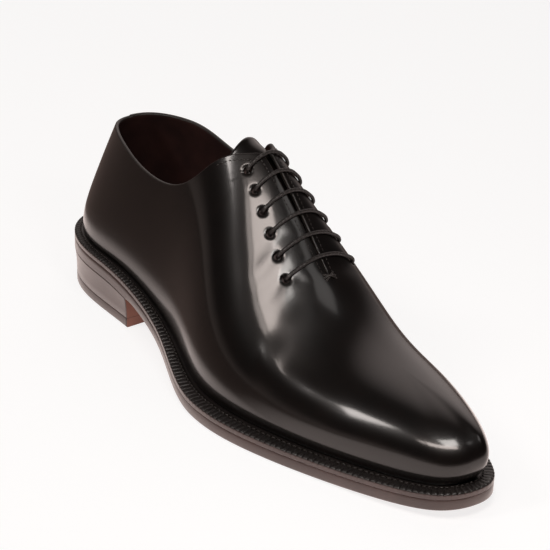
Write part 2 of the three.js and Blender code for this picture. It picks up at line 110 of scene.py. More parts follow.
# Cross sections of each side at the same stations: swell over the welt, lift of the side
# wall, out and up of the shoulder, crown beside the ridge
LATERAL = {
    "swell": [0.01, 0.03, 0.08, 0.05, 0.04, 0.12, 0.12, 0.12, 0.12, 0.13, 0.14],
    "lift": [0.25, 0.25, 0.25, 0.25, 0.25, 0.25, 0.3, 0.35, 0.4, 0.45, 0.5],
    "out": [0.655, 0.705, 0.83, 0.8, 0.86, 0.92, 0.95, 0.95, 0.95, 0.95, 0.95],
    "up": [0.38, 0.49, 0.74, 0.75, 0.7, 0.65, 0.7, 0.8, 0.85, 0.9, 0.9],
    "crown": [0.385, 0.415, 0.49, 0.45, 0.35, 0.3, 0.35, 0.4, 0.45, 0.5, 0.5],
}
MEDIAL = {
    "swell": [0.01, 0.03, 0.08, 0.05, 0.055, 0.08, 0.105, 0.14, 0.19, 0.24, 0.28],
    "lift": [0.25, 0.25, 0.25, 0.25, 0.265, 0.295, 0.33, 0.39, 0.48, 0.57, 0.66],
    "out": [0.655, 0.705, 0.83, 0.8, 0.815, 0.85, 0.885, 0.92, 0.96, 1, 1.04],
    "up": [0.38, 0.49, 0.74, 0.75, 0.795, 0.845, 0.87, 0.89, 0.92, 0.965, 0.99],
    "crown": [0.385, 0.415, 0.49, 0.45, 0.485, 0.535, 0.56, 0.565, 0.59, 0.62, 0.65],
}

# Collar line: share of the length, and heights over the feather line, shares of its rise
COLLAR_ALONG = [0.0, 0.06, 0.12, 0.18, 0.24, 0.3, 0.35, 0.385, 0.405, 0.43, 0.465, 0.5]
COLLAR_LATERAL = [1.0, 1.005, 1.035, 1.01, 0.97, 1.02, 1.15, 1.34, 1.52, 1.65, 1.7, 1.72]
COLLAR_MEDIAL = [1.0, 1.01, 1.05, 1.05, 1.03, 1.08, 1.19, 1.36, 1.53, 1.65, 1.7, 1.72]

SIDE_BLEND = 1.6
TABLE_REACH = 0.02


# Curves

def smooth(v):
    t = np.clip(v, 0.0, 1.0)
    return t * t * (3.0 - 2.0 * t)


def mix(a, b, t):
    return a + (b - a) * t


def spline(value, f):
    """Uniform cubic B-spline from value(-1) to value(2) at fraction f of the span."""
    g = 1.0 - f
    return (
        value(-1) * g ** 3
        + value(0) * (3 * f ** 3 - 6 * f ** 2 + 4)
        + value(1) * (3 * g ** 3 - 6 * g ** 2 + 4)
        + value(2) * f ** 3
    ) / 6.0


def open_spline(column, t):
    """A table column at position t, where row i lies at t = i and the ends run on straight."""
    c = np.asarray(column, float)
    c = np.concatenate([[2 * c[0] - c[1]], c, [2 * c[-1] - c[-2]]])
    span = np.floor(t).astype(int)
    return spline(lambda k: c[np.clip(span + k + 1, 0, len(c) - 1)], t - span)


def closed_spline(points, turn):
    t = np.mod(turn, 1.0) * len(points)
    span = np.floor(t).astype(int)
    f = (t - span)[..., None]
    return spline(lambda k: points[(span + k) % len(points)], f)


def at_station(column, x):
    share = np.clip(np.asarray(x, float) / SHOE_LENGTH, -TABLE_REACH, 1 + TABLE_REACH)
    return open_spline(column, share * (len(column) - 1))


# The last: heights, outline and the face of the upper

def ground(x):
    """Height of the outsole's underside."""
    s = np.asarray(x, float) / SHOE_LENGTH
    down = smooth((s - SEAT_FRONT) / (TREAD_BACK - SEAT_FRONT))
    spring = np.maximum(0.0, (s - SPRING_START) / (1 - SPRING_START))
    return HEEL_HEIGHT * (1 - down) + TOE_SPRING * spring ** 2


def outsole_top(x):
    return ground(x) + OUTSOLE_THICKNESS


def welt_top(x):
    return outsole_top(x) + SEAM + WELT_THICKNESS


def feather_height(x):
    return welt_top(x) + SEAM


def ridge_height(x):
    return feather_height(x) + INSTEP_RISE * at_station(STATIONS["ridge"], x)


def ridge_side(x):
    return BALL_WIDTH * at_station(STATIONS["side"], x)


def welt_show(x):
    return WELT_WIDTH * at_station(STATIONS["welt"], x)


OUTLINE_POINTS = np.array(OUTLINE) * [SHOE_LENGTH, BALL_WIDTH]
TURN_STEP = 1e-4
FACE_STEP = 1e-3


def outline_at(turn):
    """Points of the welt's outline with their outward directions."""
    turn = np.atleast_1d(np.asarray(turn, float))
    behind, point, ahead = [
        closed_spline(OUTLINE_POINTS, turn + step) for step in (-TURN_STEP, 0, TURN_STEP)
    ]
    way = ahead - behind
    way /= np.linalg.norm(way, axis=1)[:, None]
    return point, np.stack([way[:, 1], -way[:, 0]], axis=1)


def inset_at(turn, inset):
    """The outline moved inwards by a width that may change along the shoe."""
    point, out = outline_at(turn)
    width = inset(point[:, 0]) if callable(inset) else np.full(len(point), inset)
    return point - out * width[:, None], out


def ridge_place(x):
    """Where on the ridge the column that starts at x ends: columns fan out at heel and toe."""
    s = np.asarray(x, float) / SHOE_LENGTH
    toe_rest = 1 - np.clip((s - TOE_FAN_START) / (1 - TOE_FAN_START), 0, 1)
    toe_power = (1 - TOE_FAN_START) / (TOE_FAN - TOE_FAN_START)
    toe = mix(TOE_FAN_START, TOE_FAN, 1 - toe_rest ** toe_power)
    heel_rest = 1 - np.clip((HEEL_FAN_START - s) / HEEL_FAN_START, 0, 1)
    heel_power = HEEL_FAN_START / (HEEL_FAN_START - HEEL_FAN)
    heel = mix(HEEL_FAN_START, HEEL_FAN, 1 - heel_rest ** heel_power)
    return SHOE_LENGTH * np.where(s > TOE_FAN_START, toe, np.where(s < HEEL_FAN_START, heel, s))


def last_face(turn, share):
    """Outer face of the upper at outline turn and section share: 0 feather line, 1 ridge."""
    turn, t = np.broadcast_arrays(np.asarray(turn, float), np.asarray(share, float))
    shape = turn.shape
    turn, t = turn.ravel(), t.ravel()
    foot, out = inset_at(turn, welt_show)
    foot_x, foot_y = foot[:, 0], foot[:, 1]
    far = smooth(0.5 + out[:, 1] / SIDE_BLEND)
    swell, lift, reach, up, crown = [
        mix(at_station(LATERAL[key], foot_x), at_station(MEDIAL[key], foot_x), far)
        for key in ("swell", "lift", "out", "up", "crown")
    ]
    r = 1 - t
    b0, b1, b2, b3, b4 = r ** 4, 4 * r ** 3 * t, 6 * r ** 2 * t ** 2, 4 * r * t ** 3, t ** 4
    across = b0 + b1 * (1 + swell) + b2 * reach + b3 * crown
    height = b1 * lift + b2 * up + b3 + b4
    spine = ridge_place(foot_x)
    x = spine + (foot_x - spine) * across
    y = mix(ridge_side(spine), foot_y, across)
    low = feather_height(foot_x)
    z = low + height * (ridge_height(x) - low)
    return np.stack([x, y, z], axis=1).reshape(shape + (3,))


def last_normal(turn, share):
    """Outward direction of that face."""
    turn, share = np.broadcast_arrays(np.asarray(turn, float), np.asarray(share, float))
    t = np.clip(share, FACE_STEP, 1 - 2 * FACE_STEP)
    along_turn = last_face(turn + FACE_STEP, t) - last_face(turn - FACE_STEP, t)
    along_share = last_face(turn, t + FACE_STEP) - last_face(turn, t - FACE_STEP)
    normal = np.cross(along_turn, along_share)
    return normal / np.linalg.norm(normal, axis=-1, keepdims=True)


def feather_at(turn):
    return inset_at(turn, welt_show)


END_SEARCH = 0.05
SCAN = 4001


def end_turns(loop_at):
    """Turns of the loop's rearmost and foremost points."""
    heel = np.linspace(-END_SEARCH, END_SEARCH, SCAN)
    toe = 0.5 + heel
    return heel[np.argmin(loop_at(heel)[0][:, 0])], toe[np.argmax(loop_at(toe)[0][:, 0])]


def paired_turns(loop_at, count, bunching=0.0):
    """Turns on the lateral and the medial side at the same x, from heel to toe."""
    heel, toe = end_turns(loop_at)
    share = (np.arange(count) + 0.5) / count
    share = share + bunching * np.sin(2 * np.pi * share) / (2 * np.pi)
    near = mix(heel, toe, share)
    scan = np.linspace(toe, 1 + heel, SCAN)
    far = np.interp(-loop_at(near)[0][:, 0], -loop_at(scan)[0][:, 0], scan)
    return near, far


def slit_half(x):
    """Half the gap between the facings at x."""
    down = np.clip((x / SHOE_LENGTH - FACING_TOP) / (SLIT_FOOT - FACING_TOP), 0, 1)
    return mix(SLIT_TOP_GAP, SLIT_FOOT_GAP, down) / 2


COLLAR_STEPS = np.linspace(0, len(COLLAR_ALONG) - 1, 400)
COLLAR_X = SHOE_LENGTH * open_spline(COLLAR_ALONG, COLLAR_STEPS)
COLLAR_RISES = {
    "lateral": open_spline(COLLAR_LATERAL, COLLAR_STEPS),
    "medial": open_spline(COLLAR_MEDIAL, COLLAR_STEPS),
}


def collar_height(x, medial):
    """Height of the collar line at x; medial tells which side each point is on."""
    rise = np.where(
        medial,
        np.interp(x, COLLAR_X, COLLAR_RISES["medial"]),
        np.interp(x, COLLAR_X, COLLAR_RISES["lateral"]),
    )
    return feather_height(x) + COLLAR_RISE * rise


COLUMN_START = 0.3
COLUMN_STEP = 0.01
HALVINGS = 26


def column_ends(turns, medial, margin=0.0):
    """Section share where each column meets the collar, the slit or the ridge, less a margin."""
    spine = ridge_place(feather_at(turns)[0][:, 0])
    middle = ridge_side(spine)

    def room(t):
        p = last_face(turns, t)
        slope = (collar_height(p[:, 0] + 1, medial) - collar_height(p[:, 0] - 1, medial)) / 2
        collar = collar_height(p[:, 0], medial) - margin * np.sqrt(1 + slope ** 2) - p[:, 2]
        slit = np.abs(p[:, 1] - middle) - slit_half(p[:, 0]) - margin
        return np.minimum(collar, np.where(p[:, 0] < SLIT_OPENS * SHOE_LENGTH, collar, slit))

    low = np.full(len(turns), COLUMN_START)
    found = np.zeros(len(turns), bool)
    for t in np.arange(COLUMN_START, 1 + COLUMN_STEP / 2, COLUMN_STEP):
        found |= room(np.full(len(turns), min(t, 1.0))) <= 0
        low = np.where(found, low, t)
    high = np.minimum(low + COLUMN_STEP, 1.0)
    for _ in range(HALVINGS):
        half = (low + high) / 2
        inside = room(half) > 0
        low, high = np.where(inside, half, low), np.where(inside, high, half)
    closed = (spine >= SLIT_FOOT * SHOE_LENGTH + margin) | ~found
    return np.where(closed, 1.0, low), ~closed


SIDE_TURNS = {-1: np.linspace(0.02, 0.49, 1500), 1: np.linspace(0.98, 0.51, 1500)}
SIDE_PLACES = {side: ridge_place(feather_at(t)[0][:, 0]) for side, t in SIDE_TURNS.items()}
RIDGE_TOUCH = 0.1


def drape(x, y, off=0.0):
    """Points over ridge place x at distance y from the ridge (lateral negative), and normals."""
    x, y, off = np.broadcast_arrays(np.atleast_1d(x), np.atleast_1d(y), np.atleast_1d(off))
    x, y, off = x.astype(float), y.astype(float), off.astype(float)
    turn = np.where(
        y < 0,
        np.interp(x, SIDE_PLACES[-1], SIDE_TURNS[-1]),
        np.interp(x, SIDE_PLACES[1], SIDE_TURNS[1]),
    )
    low, high = np.full(len(x), COLUMN_START), np.ones(len(x))
    middle = ridge_side(x)
    for _ in range(HALVINGS):
        half = (low + high) / 2
        outside = np.abs(last_face(turn, half)[:, 1] - middle) > np.abs(y)
        low, high = np.where(outside, half, low), np.where(outside, high, half)
    normal = last_normal(turn, low)
    touch = np.abs(y) < RIDGE_TOUCH
    normal[touch, 1] = 0
    normal /= np.linalg.norm(normal, axis=1)[:, None]
    return last_face(turn, low) + normal * off[:, None], normal


# The CAD's flat facets run up to this far within the smooth outline
FACET_ROOM = 0.14


def sole_edge_at(turn):
    return inset_at(turn, FACET_ROOM - SOLE_OVERHANG)


# From the last's frame to the row frame: the origin is the middle of the sole's box
edge_loop = sole_edge_at(np.linspace(0, 1, SCAN))[0]
MIDDLE = np.array([*(edge_loop.min(axis=0) + edge_loop.max(axis=0)) / 2, 0.0])


def metres(points):
    return (np.asarray(points, float) - MIDDLE) * MM


# Meshes

# Points closer than this, in metres, are one
MERGE_DISTANCE = 1e-6


def put(name, data):
    """A new object in the scene."""
    made = bpy.data.objects.new(name, data)
    bpy.context.scene.collection.objects.link(made)
    return made


def piece(name, points, faces, materials, slots=None, replaces=(), slot=None):
    """A mesh piece of the shoe from points in the last's frame, riding on the root body."""
    mesh = bpy.data.meshes.new(name)
    mesh.from_pydata(metres(points).tolist(), [], faces)
    for material in materials:
        mesh.materials.append(material)
    if slots is not None:
        mesh.polygons.foreach_set("material_index", np.asarray(slots, np.int32))
    mesh.polygons.foreach_set("use_smooth", np.ones(len(mesh.polygons), bool))
    mesh.update()
    made = put(name, mesh)
    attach(made, "root")
    if replaces:
        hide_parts(*replaces)
    return made


def grid_faces(rows, columns, closed_columns=False):
    """Quads of a grid whose points run along the rows first."""
    last = columns if closed_columns else columns - 1
    c, r = np.meshgrid(np.arange(last), np.arange(rows - 1), indexing="ij")
    n = (c + 1) % columns
    quads = np.stack([c * rows + r, n * rows + r, n * rows + r + 1, c * rows + r + 1], axis=-1)
    return quads.reshape(-1, 4).tolist()


# A quad that closes the way round runs from a share over WRAP_HIGH to one under WRAP_LOW
WRAP_LOW, WRAP_HIGH = 0.3, 0.7


def lengths(path):
    """Distance along a path at each of its points."""
    return np.concatenate([[0], np.cumsum(np.linalg.norm(np.diff(path, axis=0), axis=1))])


def tube(path, radius, sides, normals=None):
    """Points, faces and UV of a round cord: U is metres along it, V the share of the way round."""
    count = len(path)
    radius = np.broadcast_to(np.asarray(radius, float), (count,))
    way = np.gradient(path, axis=0)
    way /= np.linalg.norm(way, axis=1)[:, None]
    up = np.tile([0.0, 0.0, 1.0], (count, 1)) if normals is None else normals
    side = np.cross(way, up)
    side /= np.linalg.norm(side, axis=1)[:, None]
    up = np.cross(side, way)
    angle = np.arange(sides) * 2 * np.pi / sides
    ring = (
        np.cos(angle)[None, :, None] * side[:, None, :]
        + np.sin(angle)[None, :, None] * up[:, None, :]
    )
    points = path[:, None, :] + ring * radius[:, None, None]
    faces = []
    for i in range(0, (count - 1) * sides, sides):
        for k in range(sides):
            n = (k + 1) % sides
            faces.append([i + k, i + sides + k, i + sides + n, i + n])
    faces.append(list(range(sides)))
    faces.append([(count - 1) * sides + k for k in range(sides)][::-1])
    around = np.tile(np.arange(sides) / sides, count)
    uv = np.column_stack([np.repeat(lengths(path) * MM, sides), around])
    return points.reshape(-1, 3), faces, uv


def corded(name, tubes, material, replaces=(), slot=None):
    """Joined tubes with the UV that their thread's plies follow."""
    faces, start = [], 0
    for part_points, part_faces, _ in tubes:
        faces.extend([[i + start for i in face] for face in part_faces])
        start += len(part_points)
    points = np.concatenate([part[0] for part in tubes])
    uv = np.concatenate([part[2] for part in tubes])
    made = piece(name, points, faces, [material], replaces=replaces, slot=slot)
    layer = made.data.uv_layers.new(name="along")
    for face in made.data.polygons:
        around = [uv[made.data.loops[i].vertex_index] for i in face.loop_indices]
        wraps = max(v[1] for v in around) > WRAP_HIGH and len(around) == 4
        for index, (along, turn) in zip(face.loop_indices, around):
            layer.data[index].uv = (along, turn + 1 if wraps and turn < WRAP_LOW else turn)
    return made


def curve_through(points, per_span):
    """A smooth path through points, by centripetal Catmull-Rom spans."""
    p = np.asarray(points, float)
    p = np.concatenate([[2 * p[0] - p[1]], p, [2 * p[-1] - p[-2]]])
    out = []
    for a, b, c, d in zip(p[:-3], p[1:-2], p[2:-1], p[3:]):
        t0 = 0.0
        t1 = t0 + math.sqrt(np.linalg.norm(b - a))
        t2 = t1 + math.sqrt(np.linalg.norm(c - b))
        t3 = t2 + math.sqrt(np.linalg.norm(d - c))
        t = np.linspace(t1, t2, per_span, endpoint=False)[:, None]
        ab = (t1 - t) / (t1 - t0) * a + (t - t0) / (t1 - t0) * b
        bc = (t2 - t) / (t2 - t1) * b + (t - t1) / (t2 - t1) * c
        cd = (t3 - t) / (t3 - t2) * c + (t - t2) / (t3 - t2) * d
        abc = (t2 - t) / (t2 - t0) * ab + (t - t0) / (t2 - t0) * bc
        bcd = (t3 - t) / (t3 - t1) * bc + (t - t1) / (t3 - t1) * cd
        out.append((t2 - t) / (t2 - t1) * abc + (t - t1) / (t2 - t1) * bcd)
    out.append(p[-2][None, :])
    return np.concatenate(out)


# Materials

def node(tree, kind, inputs=None, **settings):
    """A shader node. Inputs are values or sockets, by name or by number."""
    made = tree.nodes.new(kind)
    for key, value in settings.items():
        setattr(made, key, value)
    for key, value in (inputs or {}).items():
        if isinstance(value, bpy.types.NodeSocket):
            tree.links.new(value, made.inputs[key])
        else:
            made.inputs[key].default_value = value
    return made


def math_node(tree, operation, a, b=0.0, c=0.0, clamp=False):
    made = node(tree, "ShaderNodeMath", {0: a, 1: b, 2: c}, operation=operation, use_clamp=clamp)
    return made.outputs[0]


def span(tree, value, low, high, to_low=0.0, to_high=1.0):
    """The value carried smoothly from one range to another."""
    made = node(
        tree, "ShaderNodeMapRange",
        {"Value": value, "From Min": low, "From Max": high, "To Min": to_low, "To Max": to_high},
        interpolation_type="SMOOTHSTEP",
    )
    return made.outputs["Result"]


def texture_place(tree, kind="Object"):
    return node(tree, "ShaderNodeTexCoord").outputs[kind]


def coordinates(tree, place):
    """The X, Y and Z of a place."""
    return node(tree, "ShaderNodeSeparateXYZ", {0: place}).outputs


def blend_colour(tree, share, a, b):
    made = node(tree, "ShaderNodeMix", {0: share, 6: a, 7: b}, data_type="RGBA")
    return made.outputs[2]


def group(name, inputs, outputs):
    """An empty shader group with named sockets: its tree, its input node and its output node."""
    tree = bpy.data.node_groups.new(name, "ShaderNodeTree")
    for label, (kind, value) in inputs.items():
        made = tree.interface.new_socket(label, in_out="INPUT", socket_type=kind)
        made.default_value = value
    for label, kind in outputs.items():
        tree.interface.new_socket(label, in_out="OUTPUT", socket_type=kind)
    return tree, tree.nodes.new("NodeGroupInput"), tree.nodes.new("NodeGroupOutput")


def place_group(tree, made, **values):
    placed = tree.nodes.new("ShaderNodeGroup")
    placed.node_tree = made
    for key, value in values.items():
        socket = placed.inputs[key.replace("_", " ")]
        if isinstance(value, bpy.types.NodeSocket):
            tree.links.new(value, socket)
        else:
            socket.default_value = value
    return placed


FLOAT, VECTOR = "NodeSocketFloat", "NodeSocketVector"


def make_grain_group():
    """Fine pores and slow waves of a leather's face, as a height and a mottling mask."""
    tree, given, out = group(
        "leather_grain",
        {"Place": (VECTOR, (0, 0, 0)), "Pore Size": (FLOAT, 0.0006), "Wave Size": (FLOAT, 0.02)},
        {"Height": FLOAT, "Mottle": FLOAT},
    )
    pore_scale = math_node(tree, "DIVIDE", 1.0, given.outputs["Pore Size"])
    wave_scale = math_node(tree, "DIVIDE", 1.0, given.outputs["Wave Size"])
    pores = node(
        tree, "ShaderNodeTexVoronoi",
        {"Vector": given.outputs["Place"], "Scale": pore_scale, "Randomness": 0.9},
        feature="SMOOTH_F1",
    )
    fine = node(
        tree, "ShaderNodeTexNoise",
        {"Vector": given.outputs["Place"], "Scale": pore_scale, "Detail": 3.0, "Roughness": 0.6},
    )
    slow = node(
        tree, "ShaderNodeTexNoise",
        {"Vector": given.outputs["Place"], "Scale": wave_scale, "Detail": 2.0, "Roughness": 0.5},
    )
    pitted = math_node(tree, "MULTIPLY_ADD", pores.outputs["Distance"], 0.6, fine.outputs["Fac"])
    tree.links.new(pitted, out.inputs["Height"])
    tree.links.new(span(tree, slow.outputs["Fac"], 0.3, 0.7), out.inputs["Mottle"])
    return tree


STREAK_SCALE = (60.0, 160.0, 160.0)
STREAK_TURN = (0.2, 0.3, 0.5)


def make_polish_group():
    """Soft streaks of wax rubbed in with a cloth, as a value around zero."""
    tree, given, out = group(
        "wax_streaks",
        {"Place": (VECTOR, (0, 0, 0)), "Strength": (FLOAT, 0.05)},
        {"Change": FLOAT},
    )
    drawn = node(
        tree, "ShaderNodeMapping",
        {"Vector": given.outputs["Place"], "Scale": STREAK_SCALE, "Rotation": STREAK_TURN},
    )
    streaks = node(
        tree, "ShaderNodeTexNoise",
        {"Vector": drawn.outputs["Vector"], "Scale": 1.0, "Detail": 4.0, "Roughness": 0.6},
    )
    centred = math_node(tree, "SUBTRACT", streaks.outputs["Fac"], 0.5)
    change = math_node(tree, "MULTIPLY", centred, given.outputs["Strength"])
    tree.links.new(change, out.inputs["Change"])
    return tree


def make_twist_group():
    """Plies of a twisted or plaited thread along its own U, as a height."""
    tree, given, out = group(
        "thread_plies",
        {"Along": (FLOAT, 0.0), "Around": (FLOAT, 0.0), "Plies": (FLOAT, 3.0)},
        {"Height": FLOAT},
    )
    turn = math_node(tree, "MULTIPLY", given.outputs["Around"], given.outputs["Plies"])
    waves = []
    for lay in ("ADD", "SUBTRACT"):
        phase = math_node(tree, lay, given.outputs["Along"], turn)
        waves.append(math_node(tree, "SINE", math_node(tree, "MULTIPLY", phase, 2 * math.pi)))
    tree.links.new(math_node(tree, "MAXIMUM", *waves), out.inputs["Height"])
    return tree


GRAIN = make_grain_group()
POLISH = make_polish_group()
TWIST = make_twist_group()
MOTTLE_SIZE = 0.018
WAX_STREAKS = 0.05
PORE_STRENGTH = 0.5
PLY_STRENGTH = 0.6
PLY_DEPTH = 0.00012
# Scale of the thread's fine noise, and its painted shade in the grooves between plies and painted
# highlight on their crests, as shares of its colour
PLY_MOTTLE_SCALE = 900.0
PLY_SHADE_AND_LIGHT = (0.5, 1.6)


def new_material(name):
    made = bpy.data.materials.new(name)
    made.use_nodes = True
    tree = made.node_tree
    return made, tree, tree.nodes["Principled BSDF"]


def wire(tree, shader, **sockets):
    for key, value in sockets.items():
        socket = shader.inputs[key.replace("_", " ")]
        if isinstance(value, bpy.types.NodeSocket):
            tree.links.new(value, socket)
        else:
            socket.default_value = value


def bump(tree, height, strength, depth):
    made = node(tree, "ShaderNodeBump", {"Height": height, "Strength": strength, "Distance": depth})
    return made.outputs["Normal"]


def leather(
    name, dark, light, rough, pore_size, pore_depth, specular=0.5, coat=0.0, coat_rough=0.1,
):
    """A dyed leather between two shades, with pores and rubbed wax."""
    made, tree, shader = new_material(name)
    place = texture_place(tree)
    grain = place_group(tree, GRAIN, Place=place, Pore_Size=pore_size, Wave_Size=MOTTLE_SIZE)
    wax = place_group(tree, POLISH, Place=place, Strength=WAX_STREAKS)
    colour = blend_colour(tree, grain.outputs["Mottle"], (*dark, 1), (*light, 1))
    roughness = math_node(tree, "ADD", wax.outputs["Change"], rough, clamp=True)
    wire(
        tree, shader, Base_Color=colour, Roughness=roughness, Specular_IOR_Level=specular,
        Coat_Weight=coat, Coat_Roughness=coat_rough,
        Normal=bump(tree, grain.outputs["Height"], PORE_STRENGTH, pore_depth),
    )
    return made


CALF = leather(
    "polished_calf", (0.0018, 0.0011, 0.0009), (0.0032, 0.0019, 0.0015),
    rough=0.3, pore_size=0.0007, pore_depth=0.00001, specular=0.22, coat=0.75, coat_rough=0.125,
)
CALF_EDGE = leather(
    "calf_cut_edge", (0.01, 0.008, 0.007), (0.016, 0.012, 0.01),
    rough=0.45, pore_size=0.0005, pore_depth=0.00005,
)
LINING = leather(
    "lining_leather", (0.028, 0.012, 0.011), (0.05, 0.02, 0.017),
    rough=0.55, pore_size=0.0008, pore_depth=0.00005,
)
SOCK = leather(
    "sock_leather", (0.035, 0.014, 0.012), (0.06, 0.024, 0.02),
    rough=0.5, pore_size=0.0008, pore_depth=0.00005,
)
WELT_TOP = leather(
    "welt_leather", (0.007, 0.0056, 0.0052), (0.012, 0.0096, 0.009),
    rough=0.42, pore_size=0.0006, pore_depth=0.00005,
)
SOLE_EDGE = leather(
    "sole_edge_wax", (0.037, 0.02, 0.018), (0.054, 0.031, 0.028),
    rough=0.34, pore_size=0.0009, pore_depth=0.00004, coat=0.4, coat_rough=0.2,
)
SOLE_BARE = leather(
    "sole_bare_leather", (0.16, 0.062, 0.042), (0.22, 0.09, 0.06),
    rough=0.55, pore_size=0.0012, pore_depth=0.00008,
)


def thread_material(name, colour, rough, plies, pitch):
    """Waxed thread or cord. Its UV runs in metres along it and once around it."""
    made, tree, shader = new_material(name)
    uv = coordinates(tree, texture_place(tree, "UV"))
    along = math_node(tree, "DIVIDE", uv["X"], pitch)
    twist = place_group(tree, TWIST, Along=along, Around=uv["Y"], Plies=plies)
    ply_mottle = node(
        tree, "ShaderNodeTexNoise",
        {"Vector": texture_place(tree), "Scale": PLY_MOTTLE_SCALE, "Detail": 2.0},
    )
    # Painted shade and highlight: the colour is darker in the grooves between the plies and lighter
    # on their crests, patchy by a fine noise
    high = math_node(tree, "MULTIPLY", ply_mottle.outputs["Fac"], twist.outputs["Height"], clamp=True)
    dark, light = [(*[shade * c for c in colour], 1) for shade in PLY_SHADE_AND_LIGHT]
    wire(
        tree, shader, Base_Color=blend_colour(tree, high, dark, light), Roughness=rough,
        Normal=bump(tree, twist.outputs["Height"], PLY_STRENGTH, PLY_DEPTH),
    )
    return made


LACE_CORD = thread_material("lace_cotton", (0.014, 0.011, 0.01), 0.42, 4.0, 0.0022)
STITCH_THREAD = thread_material("stitch_thread", (0.02, 0.016, 0.014), 0.4, 2.0, 0.0009)


# Lacing places

EYELET_X = SHOE_LENGTH * np.linspace(FIRST_EYELET, LAST_EYELET, EYELET_PAIRS)
EYELET_HALF = np.linspace(EYELET_SPREAD_TOP, EYELET_SPREAD_FOOT, EYELET_PAIRS) / 2
EYELET_POINTS, EYELET_NORMALS = drape(
    np.concatenate([EYELET_X, EYELET_X]), np.concatenate([-EYELET_HALF, EYELET_HALF])
)

# Soft troughs and ridges of the calf. Each runs over the face from one place to another, as
# shares of the shoe's length along it and of the ball's width across it. It stands out by its
# rise (sinks where negative), with its breadth, both in millimetres, and dies away over two
# shares of its run, one at each end.
CREASES = [
    ((0.553, -0.05), (0.572, -0.34), -0.28, 4.0, (0.2, 0.4)),
    ((0.586, -0.06), (0.598, -0.36), -0.22, 3.5, (0.3, 0.5)),
    ((0.604, -0.1), (0.64, -0.29), -0.4, 4.5, (0.2, 0.5)),
    ((0.618, -0.46), (0.745, -0.315), 0.9, 7.0, (0.4, 0.4)),
    ((0.628, -0.44), (0.668, -0.33), 0.65, 8.0, (0.3, 0.4)),
    ((0.612, 0.04), (0.6, 0.2), -0.6, 6.0, (0.0, 0.6)),
]


def near_line(points, start, end):
    """Distance of points from the stretch between two places, and the share along it."""
    way = end - start
    share = np.clip(((points - start) @ way) / (way @ way), 0, 1)
    return np.linalg.norm(points - start - share[:, None] * way, axis=1), share


CREASE_ENDS = [
    [drape(SHOE_LENGTH * along, BALL_WIDTH * across)[0][0] for along, across in crease[:2]]
    for crease in CREASES
]

EYELET_DIP = 0.3
EYELET_DIP_BREADTH = 0.8


def relief(points):
    """How far the calf stands out from the last's smooth face, in millimetres."""
    out = np.zeros(len(points))
    for (_, _, rise, breadth, dying), ends in zip(CREASES, CREASE_ENDS):
        away, share = near_line(points, *ends)
        fade = np.ones(len(points))
        for run, room in zip((share, 1 - share), dying):
            fade *= smooth(run / room) if room else 1.0
        out += rise * fade * np.exp(-(away / breadth) ** 2)
    for centre in EYELET_POINTS:
        away = np.linalg.norm(points - centre, axis=1)
        rim = (away - EYELET_DIAMETER / 2) / EYELET_DIP_BREADTH
        out -= EYELET_DIP * np.exp(-np.maximum(rim, 0) ** 2)
    return out


def calf_face(turn, share):
    """Points on the finished calf."""
    base = last_face(turn, share)
    normal = last_normal(turn, share)
    raised = relief(base.reshape(-1, 3)).reshape(base.shape[:-1])
    return base + normal * raised[..., None]


# The upper

UPPER_COLUMNS = 190
MID_BUNCHING = 0.15
OUTER_ROWS = 66
INNER_ROWS = 26
RIM_ROWS = 5
ROWS_TOWARDS_EDGE = 1.25
RIM_SWELL = 0.55
FOOT_TURN = 0.05


def upper_columns():
    """Turns of the upper's columns, round the shoe, and which of them are medial."""
    near, far = paired_turns(feather_at, UPPER_COLUMNS, MID_BUNCHING)
    turns = np.concatenate([near, far[::-1]])
    medial = np.concatenate([np.zeros(UPPER_COLUMNS, bool), np.ones(UPPER_COLUMNS, bool)])
    return turns, medial


def column_shares(ends, rows):
    rise = np.arange(rows) / (rows - 1)
    return ends[:, None] * (1 - (1 - rise) ** ROWS_TOWARDS_EDGE)[None, :]


def wall_normals(turns, shares):
    """Directions of the wall's thickness: level at the feather line, square to the face above."""
    normal = last_normal(turns[:, None], shares)
    out = feather_at(turns)[1]
    level = np.concatenate([out, np.zeros((len(turns), 1))], axis=1)[:, None, :]
    weight = smooth(shares / FOOT_TURN)[..., None]
    normal = mix(level, normal, weight)
    flat = (shares > 1 - 1e-9)
    normal[flat, 1] = 0
    return normal / np.linalg.norm(normal, axis=-1, keepdims=True)


